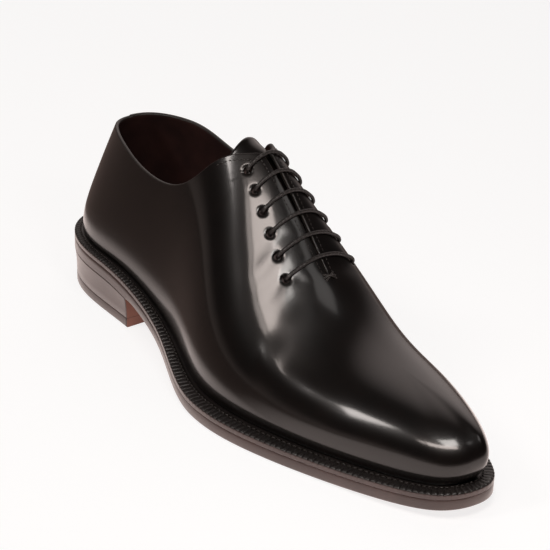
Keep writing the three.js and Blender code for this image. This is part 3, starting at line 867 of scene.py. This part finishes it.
def make_upper():
    """The calf and its lining as one hollow shell, with a rounded edge at collar and slit."""
    turns, medial = upper_columns()
    ends, open_end = column_ends(turns, medial)
    outer_shares = column_shares(ends, OUTER_ROWS)
    inner_shares = column_shares(ends, INNER_ROWS)[:, ::-1]
    outer = calf_face(turns[:, None], outer_shares)
    inner_normals = wall_normals(turns, inner_shares)
    inner = last_face(turns[:, None], inner_shares) - UPPER_WALL * inner_normals
    top = wall_normals(turns, ends[:, None])[:, 0]
    edge = outer[:, -1]
    way = np.roll(edge, -1, axis=0) - np.roll(edge, 1, axis=0)
    ahead = np.cross(top, way)
    ahead /= np.maximum(np.linalg.norm(ahead, axis=1), 1e-9)[:, None]
    ahead *= np.sign(np.sum(ahead * (outer[:, -1] - outer[:, -2]), axis=1))[:, None]
    angle = np.linspace(0, np.pi, RIM_ROWS + 2)[1:-1]
    half = (edge - inner[:, 0]) / 2
    centre = (edge + inner[:, 0]) / 2
    bulge = np.where(open_end, RIM_SWELL, 0.0)[:, None]
    rim = np.stack(
        [centre + half * math.cos(a) + ahead * bulge * math.sin(a) for a in angle], axis=1
    )
    rows = OUTER_ROWS + RIM_ROWS + INNER_ROWS
    points = np.concatenate([outer, rim, inner], axis=1)
    faces, slots = [], []
    count = len(turns)
    for c in range(count):
        n = (c + 1) % count
        closed = not (open_end[c] or open_end[n])
        for r in range(rows):
            if closed and OUTER_ROWS - 1 <= r < OUTER_ROWS + RIM_ROWS:
                continue
            up = (r + 1) % rows
            faces.append([c * rows + r, n * rows + r, n * rows + up, c * rows + up])
            slots.append(0 if r < OUTER_ROWS - 1 else 1 if r >= OUTER_ROWS + RIM_ROWS else 2)
    made = piece(
        "upper_shell", points.reshape(-1, 3), faces, [CALF, LINING, CALF_EDGE], slots,
        replaces=["upper"], slot="polished_calf",
    )
    shell = bmesh.new()
    shell.from_mesh(made.data)
    turn_layer = shell.verts.layers.float.new("turn")
    share_layer = shell.verts.layers.float.new("share")
    shell.verts.ensure_lookup_table()
    for c in range(count):
        for r in range(OUTER_ROWS):
            vertex = shell.verts[c * rows + r]
            vertex[turn_layer] = turns[c]
            vertex[share_layer] = outer_shares[c, r]
    punch_eyelets(shell, turn_layer, share_layer)
    bmesh.ops.remove_doubles(shell, verts=shell.verts, dist=MERGE_DISTANCE)
    bmesh.ops.dissolve_degenerate(shell, edges=shell.edges, dist=MERGE_DISTANCE / 10)
    shell.to_mesh(made.data)
    shell.free()


PUNCH_REACH = 5.2
PUNCH_CUTS = 3
PUNCH_MARGIN = 0.15
# The hole's wall: how far inwards and down each of its steps goes
PUNCH_STEPS = ((0.12, 0.3), (0.0, UPPER_WALL + 0.1))


def punch_eyelets(shell, turn_layer, share_layer):
    """Cuts the twelve holes: a finer patch round each, a round rim, and the hole's own wall."""
    centres = [Vector(metres(p)) for p in EYELET_POINTS]
    normals = [Vector(n) for n in EYELET_NORMALS]
    patch = {
        edge
        for face in shell.faces if face.material_index == 0
        for centre in centres if (face.calc_center_median() - centre).length < PUNCH_REACH * MM
        for edge in face.edges
    }
    fresh = bmesh.ops.subdivide_edges(
        shell, edges=list(patch), cuts=PUNCH_CUTS, use_grid_fill=True
    )
    inner = [v for v in fresh["geom_inner"] if isinstance(v, bmesh.types.BMVert)]
    turn = np.array([v[turn_layer] for v in inner])
    share = np.array([v[share_layer] for v in inner])
    for vertex, point in zip(inner, metres(calf_face(turn, share))):
        vertex.co = Vector(point)
    radius = EYELET_DIAMETER / 2 * MM
    for centre, normal in zip(centres, normals):
        inside = [
            v for v in shell.verts
            if (v.co - centre).length < radius - PUNCH_MARGIN * MM
        ]
        around = {f for v in inside for f in v.link_faces}
        ring = {v for f in around for v in f.verts} - set(inside)
        bmesh.ops.delete(shell, geom=inside, context="VERTS")
        rim = [v for v in ring if v.is_valid and v.is_boundary]
        for vertex in rim:
            away = vertex.co - centre
            away -= normal * away.dot(normal)
            level = normal * (vertex.co - centre).dot(normal)
            vertex.co = centre + level + away.normalized() * radius
        edges = [e for e in shell.edges if e.is_boundary and all(v in set(rim) for v in e.verts)]
        for inwards, depth in PUNCH_STEPS:
            grown = bmesh.ops.extrude_edge_only(shell, edges=edges)["geom"]
            moved = [g for g in grown if isinstance(g, bmesh.types.BMVert)]
            for vertex in moved:
                away = vertex.co - centre
                away -= normal * away.dot(normal)
                vertex.co -= away.normalized() * inwards * MM + normal * depth * MM
            edges = [g for g in grown if isinstance(g, bmesh.types.BMEdge) and g.is_boundary]
            for face in {f for v in moved for f in v.link_faces}:
                face.material_index = 2


# The sole, the heel and the insole

SOLE_PAIRS = 170
SOLE_EDGE_PROFILE = [(1.3, 0.0), (0.7, 0.12), (0.25, 0.45), (0.0, 1.0)]
SOLE_TOP_EASE = 0.04
EDGE_MIDDLE = 0.55
# The lower edge is rounded from the breast on
ROUNDING_START = 6.0


def slab(name, near, far, loop_at, profile, materials, side_slot, bottom_slot, top_slot, **more):
    """A plate with a shaped edge. Profile rows are an inset, fixed or from x, and a height."""
    turns = np.concatenate([near, far[::-1]])
    columns = []
    for inset, height in profile:
        point, out = loop_at(turns)
        moved = point - out * (inset(point[:, 0])[:, None] if callable(inset) else inset)
        columns.append(np.column_stack([moved, height(point[:, 0])]))
    points = np.stack(columns, axis=1)
    rows, count = len(profile), len(turns)
    faces = grid_faces(rows, count, closed_columns=True)
    slots = [side_slot] * len(faces)
    half = len(near)
    for k in range(half - 1):
        a, b = k * rows, (k + 1) * rows
        c, d = (count - 2 - k) * rows, (count - 1 - k) * rows
        faces.append([a, d, c, b])
        slots.append(bottom_slot)
        faces.append([b + rows - 1, c + rows - 1, d + rows - 1, a + rows - 1])
        slots.append(top_slot)
    return piece(name, points.reshape(-1, 3), faces, materials, slots, **more)


def make_outsole():
    near, far = paired_turns(sole_edge_at, SOLE_PAIRS)

    def before_heel(inset):
        return lambda x: inset * smooth((x - BREAST * SHOE_LENGTH) / ROUNDING_START)

    profile = [
        (before_heel(inset), lambda x, up=up: ground(x) + up) for inset, up in SOLE_EDGE_PROFILE
    ]
    profile += [
        (0.0, lambda x: ground(x) + OUTSOLE_THICKNESS * EDGE_MIDDLE),
        (0.0, lambda x: outsole_top(x) + SEAM / 2 - SOLE_TOP_EASE),
        (SOLE_TOP_EASE, lambda x: outsole_top(x) + SEAM / 2),
    ]
    slab(
        "outsole_leather", near, far, sole_edge_at, profile, [SOLE_EDGE, SOLE_BARE],
        0, 1, 1, replaces=["outsole"], slot="sole_edge",
    )


HEEL_TURN_SEARCH = 0.4
HEEL_COLUMNS = 90
# The heel runs out into the sole's edge: share of the lifts' height, and how far out
HEEL_FLARE = [(0.3, 0.1), (0.55, 0.32), (0.78, 0.68), (0.93, 1.0), (1.0, 1.12)]
# Insets and heights of the small roundings at the foot of the lifts and round the top piece
LIFT_FOOT = [(0.12, 0.0), (0.0, 0.15)]
TOP_PIECE_PROFILE = [
    (0.6, 0.0), (0.15, 0.15), (0.0, 0.5), (0.0, TOP_PIECE_HEIGHT - 0.15), (0.12, TOP_PIECE_HEIGHT),
]


def heel_edge_at(turn):
    return inset_at(turn, HEEL_TAPER)


def heel_turns():
    """Turns of the heel's loop, from the breast round the back, as lateral and medial lists."""
    heel, _ = end_turns(heel_edge_at)
    scan = np.linspace(heel, HEEL_TURN_SEARCH, SCAN)
    breast = np.interp(BREAST * SHOE_LENGTH, heel_edge_at(scan)[0][:, 0], scan)
    near = mix(heel, breast, (np.arange(HEEL_COLUMNS) + 0.5) / (HEEL_COLUMNS - 0.5))
    near[-1] = breast
    scan = np.linspace(1 + heel, 1 - HEEL_TURN_SEARCH, SCAN)
    far = np.interp(heel_edge_at(near)[0][:, 0], heel_edge_at(scan)[0][:, 0], scan)
    return near, far


def breast_slots(made, side_slots):
    """Gives the flat breast its bare leather."""
    front = metres([[BREAST * SHOE_LENGTH - 0.5, 0, 0]])[0][0]
    for face in made.data.polygons:
        if face.normal.x > 0.9 and face.center.x > front:
            face.material_index = side_slots
            face.use_smooth = False


def at_height(height):
    return lambda x: np.full(len(x), height)


def make_heel():
    near, far = heel_turns()
    foot = TOP_PIECE_HEIGHT + SEAM / 2
    profile = [(inset, at_height(foot + rise)) for inset, rise in LIFT_FOOT]
    for share, swell in HEEL_FLARE:
        profile.append((-swell, lambda x, s=share: mix(foot, ground(x) - SEAM / 2, s)))
    stack = slab(
        "heel_lifts", near, far, heel_edge_at, profile, [SOLE_EDGE, SOLE_BARE],
        0, 0, 0, replaces=["heel_stack"], slot="sole_edge",
    )
    breast_slots(stack, 1)
    profile = [(inset, at_height(height)) for inset, height in TOP_PIECE_PROFILE]
    top_piece = slab(
        "heel_top_lift", near, far, heel_edge_at, profile, [SOLE_EDGE, SOLE_BARE],
        0, 1, 0, replaces=["heel_top_piece"], slot="sole_edge",
    )
    breast_slots(top_piece, 1)


INSOLE_PAIRS = 120


def insole_edge_at(turn):
    return inset_at(turn, lambda x: welt_show(x) + UPPER_WALL + SEAM)


def make_insole():
    near, far = paired_turns(insole_edge_at, INSOLE_PAIRS)
    profile = [
        (0.3, lambda x: outsole_top(x) + SEAM),
        (0.0, lambda x: outsole_top(x) + SEAM + 0.5),
        (0.0, lambda x: outsole_top(x) + SEAM + INSOLE_THICKNESS - 0.6),
        (0.5, lambda x: outsole_top(x) + SEAM + INSOLE_THICKNESS),
    ]
    slab(
        "insole_sock", near, far, insole_edge_at, profile, [SOCK], 0, 0, 0,
        replaces=["insole"], slot="lining_leather",
    )


# The welt, with its notches and its row of stitches

PITCH_FOREPART = 3.0
PITCH_WAIST = 2.54
PITCH_CHANGE = 0.45
PITCH_CHANGE_RUN = 0.1
NOTCH_SAMPLES = 10
NOTCH_DEPTH = 0.5
NOTCH_SHARE = 0.42
NOTCH_POWER = 0.8
SIDE_NOTCH = 0.6
BEAD_ROUNDING = 0.1
WELT_INNER_DROP = 0.3
# Across the welt: share of its showing width from the upper out, rise, and share of the notch
WELT_PROFILE = [
    (0.0, -0.25, 0.0), (0.1, -0.45, 0.0), (0.2, -0.4, 0.0), (0.28, -0.12, 0.15), (0.36, 0.0, 0.35),
    (0.5, 0.0, 0.85), (0.65, 0.0, 1.0), (0.8, -0.02, 1.0), (0.92, -0.1, 1.0), (0.985, -0.3, 0.9),
]
WELT_SIDE = [(-0.36, -0.75, 0.4), (-0.36, -1.4, 0.0), (-0.36, -2.6, 0.0), (-0.34, -3.1, 0.0)]
STITCH_ACROSS = 0.33
STITCH_RISE = 0.12
STITCH_SIDES = 7
# Half a stitch as a share of the pitch, and its rise and radius from one end to the other
STITCH_HALF = 0.34
STITCH_ARCH = np.array([-0.35, -0.05, 0.08, 0.12, 0.08, -0.05, -0.35])
STITCH_RADII = np.array([0.3, 0.4, 0.44, 0.46, 0.44, 0.4, 0.3])


def welt_phases():
    """Arc places round the welt as stitch counts, with the turns they belong to."""
    turns = np.linspace(0, 1, 8001)
    point = outline_at(turns)[0]
    step = np.linalg.norm(np.diff(point, axis=0), axis=1)
    forward = smooth((point[:-1, 0] / SHOE_LENGTH - PITCH_CHANGE) / PITCH_CHANGE_RUN)
    pitch = mix(PITCH_WAIST, PITCH_FOREPART, forward)
    count = np.concatenate([[0], np.cumsum(step / pitch)])
    whole = round(count[-1])
    return turns, count * whole / count[-1], whole


def make_welt():
    turns, phase, whole = welt_phases()
    at = np.arange(whole * NOTCH_SAMPLES) / NOTCH_SAMPLES
    turn = np.interp(at, phase, turns)
    point, out = outline_at(turn)
    show = welt_show(point[:, 0])
    top = welt_top(point[:, 0])
    beside = np.abs(at % 1 - 0.5)
    half = NOTCH_SHARE / 2
    notch = np.clip(1 - beside / half, 0, 1) ** NOTCH_POWER
    rounding = BEAD_ROUNDING * np.clip((beside - half) / (0.5 - half), 0, 1) ** 2
    inner = show + UPPER_WALL
    rows = [(inner, outsole_top(point[:, 0]) + SEAM / 2), (inner, top - WELT_INNER_DROP)]
    for share, rise, cut in WELT_PROFILE:
        rows.append((show * (1 - share), top + rise - cut * (NOTCH_DEPTH * notch - rounding)))
    for inset, rise, cut in WELT_SIDE:
        rows.append((np.full(len(at), inset) + cut * SIDE_NOTCH * notch, top + rise))
    points = np.stack(
        [np.column_stack([point - out * inset[:, None], z]) for inset, z in rows], axis=1
    )
    count, depth = len(at), len(rows)
    faces, slots = [], []
    side_start = depth - len(WELT_SIDE)
    for c in range(count):
        n = (c + 1) % count
        for r in range(depth):
            up = (r + 1) % depth
            faces.append([c * depth + r, c * depth + up, n * depth + up, n * depth + r])
            slots.append(1 if r >= side_start else 0)
    piece(
        "welt_strip", points.reshape(-1, 3), faces, [WELT_TOP, SOLE_EDGE], slots,
        replaces=["welt"], slot="welt_leather",
    )
    make_welt_stitches(turns, phase, whole)


def make_welt_stitches(turns, phase, whole):
    stitches = []
    along = np.linspace(-STITCH_HALF, STITCH_HALF, len(STITCH_ARCH))
    for k in range(whole):
        turn = np.interp((k + along) % whole, phase, turns)
        point, out = outline_at(turn)
        inset = welt_show(point[:, 0]) * (1 - STITCH_ACROSS)
        height = welt_top(point[:, 0]) + STITCH_RISE + STITCH_ARCH
        path = np.column_stack([point - out * inset[:, None], height])
        stitches.append(tube(path, STITCH_RADII, STITCH_SIDES))
    corded("welt_stitches", stitches, STITCH_THREAD, slot="welt_leather")


# The tongue

TONGUE_COLUMNS = 90
TONGUE_ROWS = 40
TONGUE_HALF_WIDTH = 22
TONGUE_CORNER_CUT = 0.25
LACE_ROOM = 0.9


def tongue_point(along, side, depth):
    """A place on the tongue: along it, across it from -1 to 1, and a depth under its face."""
    x = SHOE_LENGTH * mix(TONGUE_TOP, TONGUE_FOOT, along)
    half = mix(TONGUE_TOP_WIDTH, TONGUE_FOOT_WIDTH, along) / 2
    above = smooth((FACING_TOP - x / SHOE_LENGTH) / (FACING_TOP - TONGUE_TOP))
    rounding = 1 - TONGUE_CORNER_CUT * above * side ** 2
    room = LACE_ROOM * (1 - above)
    point, normal = drape(x, half * side * rounding, -(UPPER_WALL + TONGUE_GAP + room))
    point = point - normal * depth[:, None]
    point[:, 2] -= TONGUE_DROOP * above
    return point, normal


def make_tongue():
    along = np.repeat(np.linspace(0, 1, TONGUE_COLUMNS), TONGUE_ROWS)
    side = np.tile(np.linspace(-1, 1, TONGUE_ROWS), TONGUE_COLUMNS)
    edge = (1 - np.abs(side)) * TONGUE_HALF_WIDTH
    from_top = along * SHOE_LENGTH * (TONGUE_FOOT - TONGUE_TOP)
    roll = np.clip(1 - np.minimum(edge, from_top) / (TONGUE_THICKNESS / 2), 0, 1)
    ease = TONGUE_THICKNESS / 2 * (1 - np.sqrt(1 - roll ** 2))
    outer, _ = tongue_point(along, side, ease)
    inner, _ = tongue_point(along, side, TONGUE_THICKNESS - ease)
    count = TONGUE_COLUMNS * TONGUE_ROWS
    faces = grid_faces(TONGUE_ROWS, TONGUE_COLUMNS)
    slots = [0] * len(faces)
    faces += [[i + count for i in face][::-1] for face in faces]
    slots += [1] * len(slots)
    rim = (
        list(range(TONGUE_ROWS))
        + [c * TONGUE_ROWS + TONGUE_ROWS - 1 for c in range(1, TONGUE_COLUMNS)]
        + [(TONGUE_COLUMNS - 1) * TONGUE_ROWS + r for r in range(TONGUE_ROWS - 2, -1, -1)]
        + [c * TONGUE_ROWS for c in range(TONGUE_COLUMNS - 2, 0, -1)]
    )
    for a, b in zip(rim, rim[1:] + rim[:1]):
        faces.append([a, b, b + count, a + count])
        slots.append(2)
    piece(
        "tongue_leather", np.concatenate([outer, inner]), faces, [CALF, LINING, CALF_EDGE], slots,
        replaces=["tongue"], slot="tongue_calf",
    )


# The lace: one cord through all the eyelets, straight bars outside and runs between rows inside

LACE_SIDES = 12
LACE_CORD_DIAMETER = 1.9
LACE_CLEAR = 0.15
# Eyelets in the order that the lace passes them: side (-1 lateral, 1 medial) and row
LACE_ORDER = [
    (1, 1), (-1, 1), (-1, 3), (1, 3), (1, 5), (-1, 5),
    (-1, 4), (1, 4), (1, 2), (-1, 2), (-1, 0), (1, 0),
]
RUN_DEPTH = 1.0
RUN_TURN = 0.9
RUN_START = 1.5
RUN_SLACK = 0.8
UNDER = -(UPPER_WALL + RUN_DEPTH)
LACE_END = (3.0, 6.0)
LACE_STEPS = 14


def eyelet_place(side, row, inward=0.0, off=0.0):
    return drape(EYELET_X[row], side * (EYELET_HALF[row] - inward), off)


def bar_points(start, row):
    """Over the facings, from the eyelet on one side to its partner."""
    over = LACE_CORD_DIAMETER / 2 + LACE_CLEAR
    half = EYELET_HALF[row]
    rise = [(0.1, -1.0), (0.4, 0.3 * over), (1.5, 0.95 * over), (3.2, over), (half * 0.55, over)]
    there = [eyelet_place(start, row, inward, off) for inward, off in rise]
    crest = [drape(EYELET_X[row], 0.0, over)]
    back = [eyelet_place(-start, row, inward, off) for inward, off in rise[::-1]]
    return there + crest + back


def run_points(side, row, to_row):
    """Under the facing, from one eyelet to another on the same side."""
    sign = 1 if to_row > row else -1
    out = [eyelet_place(side, row, 0.0, -RUN_TURN * UPPER_WALL)]
    for share in (0.25, 0.5, 0.75):
        x = mix(EYELET_X[row] + sign * RUN_START, EYELET_X[to_row] - sign * RUN_START, share)
        half = np.interp(x, EYELET_X, EYELET_HALF) - RUN_SLACK * math.sin(math.pi * share)
        out.append(drape(x, side * half, UNDER))
    return out + [eyelet_place(side, to_row, 0.0, -RUN_TURN * UPPER_WALL)]


def make_lace():
    first_side, first_row = LACE_ORDER[0]
    stops = [eyelet_place(first_side, 0, 0.5, UNDER)]
    stops += run_points(first_side, 0, first_row)[1:]
    for (side, row), (_, next_row) in zip(LACE_ORDER, LACE_ORDER[1:]):
        if row == next_row:
            stops += bar_points(side, row)
        else:
            stops += run_points(side, row, next_row)
    side, row = LACE_ORDER[-1]
    stops.append(eyelet_place(side, row, 0.2, -UPPER_WALL))
    stops += [drape(EYELET_X[row] + past, side * EYELET_HALF[row], UNDER) for past in LACE_END]
    knots = np.array([p[0] for p, _ in stops])
    normals = np.array([n[0] for _, n in stops])
    path = curve_through(knots, LACE_STEPS)
    tree = KDTree(len(knots))
    for i, knot in enumerate(knots):
        tree.insert(knot, i)
    tree.balance()
    above = np.array([normals[tree.find(p)[1]] for p in path])
    keep = np.concatenate([[True], np.linalg.norm(np.diff(path, axis=0), axis=1) > 1e-4])
    corded(
        "lace", [tube(path[keep], LACE_CORD_DIAMETER / 2, LACE_SIDES, above[keep])], LACE_CORD,
        replaces=[f"lace_bar_{i + 1}" for i in range(EYELET_PAIRS)], slot="lace_cotton",
    )


# Stitches on the calf

EDGE_STITCH_MARGIN = 2.3
EDGE_STITCH_LENGTH = 1.5
EDGE_STITCH_GAP = 0.75
EDGE_STITCH_RADIUS = 0.26
EDGE_STITCH_SIDES = 6
EDGE_STITCH_ARCH = EDGE_STITCH_RADIUS * np.array([-1.2, 0.15, 0.45, 0.45, 0.15, -1.2])
EDGE_STITCH_RADII = EDGE_STITCH_RADIUS * np.array([0.6, 0.95, 1.0, 1.0, 0.95, 0.6])
EDGE_COLUMNS = 420


def stitch_row(path, normals):
    """Short threads that dip into the leather at both ends."""
    step = EDGE_STITCH_LENGTH + EDGE_STITCH_GAP
    along = lengths(path)
    stitches = []
    for k in range(int(along[-1] // step)):
        at = k * step + np.linspace(0, EDGE_STITCH_LENGTH, len(EDGE_STITCH_ARCH))
        spot, up = [
            np.stack([np.interp(at, along, row[:, i]) for i in range(3)], axis=1)
            for row in (path, normals)
        ]
        spot = spot + up * EDGE_STITCH_ARCH[:, None]
        stitches.append(tube(spot, EDGE_STITCH_RADII, EDGE_STITCH_SIDES, up))
    return stitches


def edge_paths(margin):
    """Lines on the calf at a margin beside the slit: lateral and medial."""
    near, far = paired_turns(feather_at, EDGE_COLUMNS, MID_BUNCHING)
    paths = []
    for turns, side in ((near, False), (far, True)):
        medial = np.full(len(turns), side)
        ends, is_open = column_ends(turns, medial, margin)
        beside_slit = last_face(turns, ends)[:, 0] > SLIT_OPENS * SHOE_LENGTH
        turns, ends = turns[is_open & beside_slit], ends[is_open & beside_slit]
        paths.append((calf_face(turns, ends), last_normal(turns, ends)))
    return paths


def make_edge_stitches():
    rows = [stitch_row(path, normals) for path, normals in edge_paths(EDGE_STITCH_MARGIN)]
    corded("edge_stitches", sum(rows, []), STITCH_THREAD, slot="polished_calf")


# The stay stitch across the foot of the slit: thick threads, each from one place to another,
# as millimetres past the slit's foot and to the side, and how high it crosses the others
STAY_THREADS = [
    (0.8, -3.2, 3.4, 3.3, 0.0),
    (3.4, -3.0, 0.8, 3.1, 0.45),
    (2.1, -3.6, 2.1, 3.7, 0.8),
]
STAY_RADIUS = 0.45
STAY_SIDES = 8
STAY_ARCH = np.array([-1.2, 0.4, 0.8, 0.9, 1.0, 0.9, 0.8, 0.4, -1.2])


def make_stay_stitch():
    threads = []
    foot = SLIT_FOOT * SHOE_LENGTH
    for from_along, from_side, to_along, to_side, over in STAY_THREADS:
        along = foot + np.linspace(from_along, to_along, len(STAY_ARCH))
        side = np.linspace(from_side, to_side, len(STAY_ARCH))
        arch = STAY_RADIUS * STAY_ARCH + over * np.maximum(STAY_ARCH - 0.5, 0)
        path, normals = drape(along, side, arch)
        threads.append(tube(path, STAY_RADIUS, STAY_SIDES, normals))
    corded("stay_stitch", threads, STITCH_THREAD, slot="polished_calf")


make_upper()
make_outsole()
make_heel()
make_insole()
make_welt()
make_tongue()
make_lace()
make_edge_stitches()
make_stay_stitch()


# Light, floor and camera

LOOK_AT = Vector((-0.0087, 0.01363, 0.0476))
CAMERA_DISTANCE = 1.04393
CAMERA_AZIMUTH = math.radians(51.785)
CAMERA_ELEVATION = math.radians(27.206)
CAMERA_ROLL = math.radians(2.342)
SENSOR = 36.0
FOCAL_LENGTH = 139.65


def make_camera():
    """The camera at the photograph's angle to the shoe, rolled a little."""
    flat = math.cos(CAMERA_ELEVATION)
    back = Vector((
        math.sin(CAMERA_AZIMUTH) * flat, -math.cos(CAMERA_AZIMUTH) * flat, math.sin(CAMERA_ELEVATION),
    ))
    level = Vector((math.cos(CAMERA_AZIMUTH), math.sin(CAMERA_AZIMUTH), 0.0))
    upright = back.cross(level)
    right = level * math.cos(CAMERA_ROLL) + upright * math.sin(CAMERA_ROLL)
    up = upright * math.cos(CAMERA_ROLL) - level * math.sin(CAMERA_ROLL)
    data = bpy.data.cameras.new("camera")
    data.sensor_width = SENSOR
    data.lens = FOCAL_LENGTH
    data.clip_start = 0.05
    made = put("camera", data)
    turned = Matrix((right, up, back)).transposed().to_4x4()
    made.matrix_world = Matrix.Translation(LOOK_AT + back * CAMERA_DISTANCE) @ turned
    bpy.context.scene.camera = made


# Each soft box: direction that it shines from in degrees (0 is the toe's, -90 the lateral side),
# elevation, distance, tilt, width and height in metres, brightness (a white sheet is 1), colour
SOFT_BOXES = {
    "side_box": (-113, 46, 2.0, 0, 0.31, 0.5, 17.0, (1.0, 0.93, 0.89)),
    "wing_box": (-82, 51, 2.0, 25, 0.2, 0.2, 8.0, (1.0, 0.88, 0.82)),
    "front_box": (-52, 59.5, 2.0, 14, 1.07, 0.24, 15.0, (1.0, 0.88, 0.82)),
    "cross_box": (38, 58, 2.0, 0, 0.6, 0.4, 1.5, (1.0, 0.95, 0.92)),
    "toe_box": (-18, 51, 0.35, 0, 0.075, 0.075, 15.0, (1.0, 0.95, 0.91)),
}
FLOOR_HALF = 6.0
# The floor is a white table that glows evenly white to the eye. Where the calf mirrors it, it holds a
# painted pool of light: it glows and is lighter only before the toe and where the mirrored way to it
# is short, which paints a reflection on the calf. Farther off it is painted dim, a painted shade.
# That way, in metres, fades out over the pool's reach, and counts as longer by the pool's fade for
# each metre forward of the fade's start.
TABLE_WHITE = 0.8
TABLE_TINT = (0.25, 0.25, 0.25, 1)
PAINTED_POOL_COLOUR = (0.95, 0.85, 0.82, 1)
PAINTED_DIM_COLOUR = (0.24, 0.19, 0.175, 1)
PAINTED_POOL_GLOW = 0.7
PAINTED_POOL_REACH = (0.066, 0.092)
PAINTED_POOL_FADE = 0.25
PAINTED_POOL_FADE_START = -0.12
PAINTED_POOL_FRONT = (0.0, 0.07)
# The room: dark, warmer and lighter at the horizon, with a soft glow from behind the far side
SKY_LOW = (0.42, 0.34, 0.31, 1)
SKY_HIGH = (0.04, 0.036, 0.035, 1)
SKY_RISE = 0.2
BACK_GLOW = (1.0, 0.86, 0.82, 1)
GLOW_AZIMUTH = 134
GLOW_ELEVATION = 32
GLOW_EDGE = 42
GLOW_CORE = 12


def direction(azimuth, elevation):
    turn, rise = math.radians(azimuth), math.radians(elevation)
    flat = math.cos(rise)
    return Vector((flat * math.cos(turn), flat * math.sin(turn), math.sin(rise)))


def soft_box(name, azimuth, elevation, distance, tilt, width, height, brightness, colour):
    """A studio lamp behind a diffusing sheet, turned to the shoe."""
    way = direction(azimuth, elevation)
    data = bpy.data.lights.new(name, "AREA")
    data.shape = "RECTANGLE"
    data.size, data.size_y = width, height
    data.energy = brightness * math.pi * width * height
    data.color = colour
    level = Vector((0, 0, 1)).cross(way).normalized()
    upright = way.cross(level)
    rolled = Matrix.Rotation(math.radians(tilt), 3, "Z")
    turned = (Matrix((level, upright, way)).transposed() @ rolled).to_4x4()
    put(name, data).matrix_world = Matrix.Translation(LOOK_AT + way * distance) @ turned


def make_floor_material():
    made, tree, shader = new_material("studio_floor")
    along = coordinates(tree, texture_place(tree))["X"]
    path = node(tree, "ShaderNodeLightPath")
    # Painted pool of light, seen only in the calf's mirror: the floor glows and is lighter where the
    # mirrored way is short and before the toe, a painted reflection
    forward = math_node(tree, "SUBTRACT", along, PAINTED_POOL_FADE_START)
    length = math_node(tree, "MULTIPLY_ADD", forward, PAINTED_POOL_FADE, path.outputs["Ray Length"])
    near = span(tree, length, *PAINTED_POOL_REACH, 1.0, 0.0)
    front = span(tree, along, *PAINTED_POOL_FRONT)
    painted_pool = math_node(tree, "MAXIMUM", near, front)
    seen = path.outputs["Is Camera Ray"]
    bright = math_node(tree, "MULTIPLY", painted_pool, PAINTED_POOL_GLOW)
    glow = node(tree, "ShaderNodeMix", {0: seen, 2: bright, 3: TABLE_WHITE})
    # Mirrored away from the pool, the floor takes a painted dim colour, a painted shade; to the eye
    # it stays white
    mirrored_painted_pool = blend_colour(tree, painted_pool, PAINTED_DIM_COLOUR, PAINTED_POOL_COLOUR)
    wire(
        tree, shader, Base_Color=blend_colour(tree, seen, mirrored_painted_pool, TABLE_TINT), Roughness=0.8,
        Specular_IOR_Level=0.1, Emission_Color=blend_colour(tree, seen, PAINTED_POOL_COLOUR, (1, 1, 1, 1)),
        Emission_Strength=glow.outputs[0],
    )
    return made


def make_world():
    world = bpy.data.worlds.new("studio")
    bpy.context.scene.world = world
    world.use_nodes = True
    tree = world.node_tree
    towards = texture_place(tree, "Generated")
    high = span(tree, coordinates(tree, towards)["Z"], 0.0, SKY_RISE)
    sky = blend_colour(tree, high, SKY_LOW, SKY_HIGH)
    along = node(
        tree, "ShaderNodeVectorMath", {0: towards, 1: direction(GLOW_AZIMUTH, GLOW_ELEVATION)},
        operation="DOT_PRODUCT",
    )
    edge, core = math.cos(math.radians(GLOW_EDGE)), math.cos(math.radians(GLOW_CORE))
    glow = span(tree, along.outputs["Value"], edge, core)
    wire(tree, tree.nodes["Background"], Color=blend_colour(tree, glow, sky, BACK_GLOW))


def make_studio():
    floor_mesh = bpy.data.meshes.new("studio_floor")
    half = FLOOR_HALF
    floor_mesh.from_pydata(
        [(-half, -half, 0), (half, -half, 0), (half, half, 0), (-half, half, 0)], [], [(0, 1, 2, 3)]
    )
    floor_mesh.materials.append(make_floor_material())
    floor = put("studio_floor", floor_mesh)
    for name, settings in SOFT_BOXES.items():
        soft_box(name, *settings)
    make_world()
    bpy.context.scene.view_settings.view_transform = "Standard"


make_camera()
make_studio()
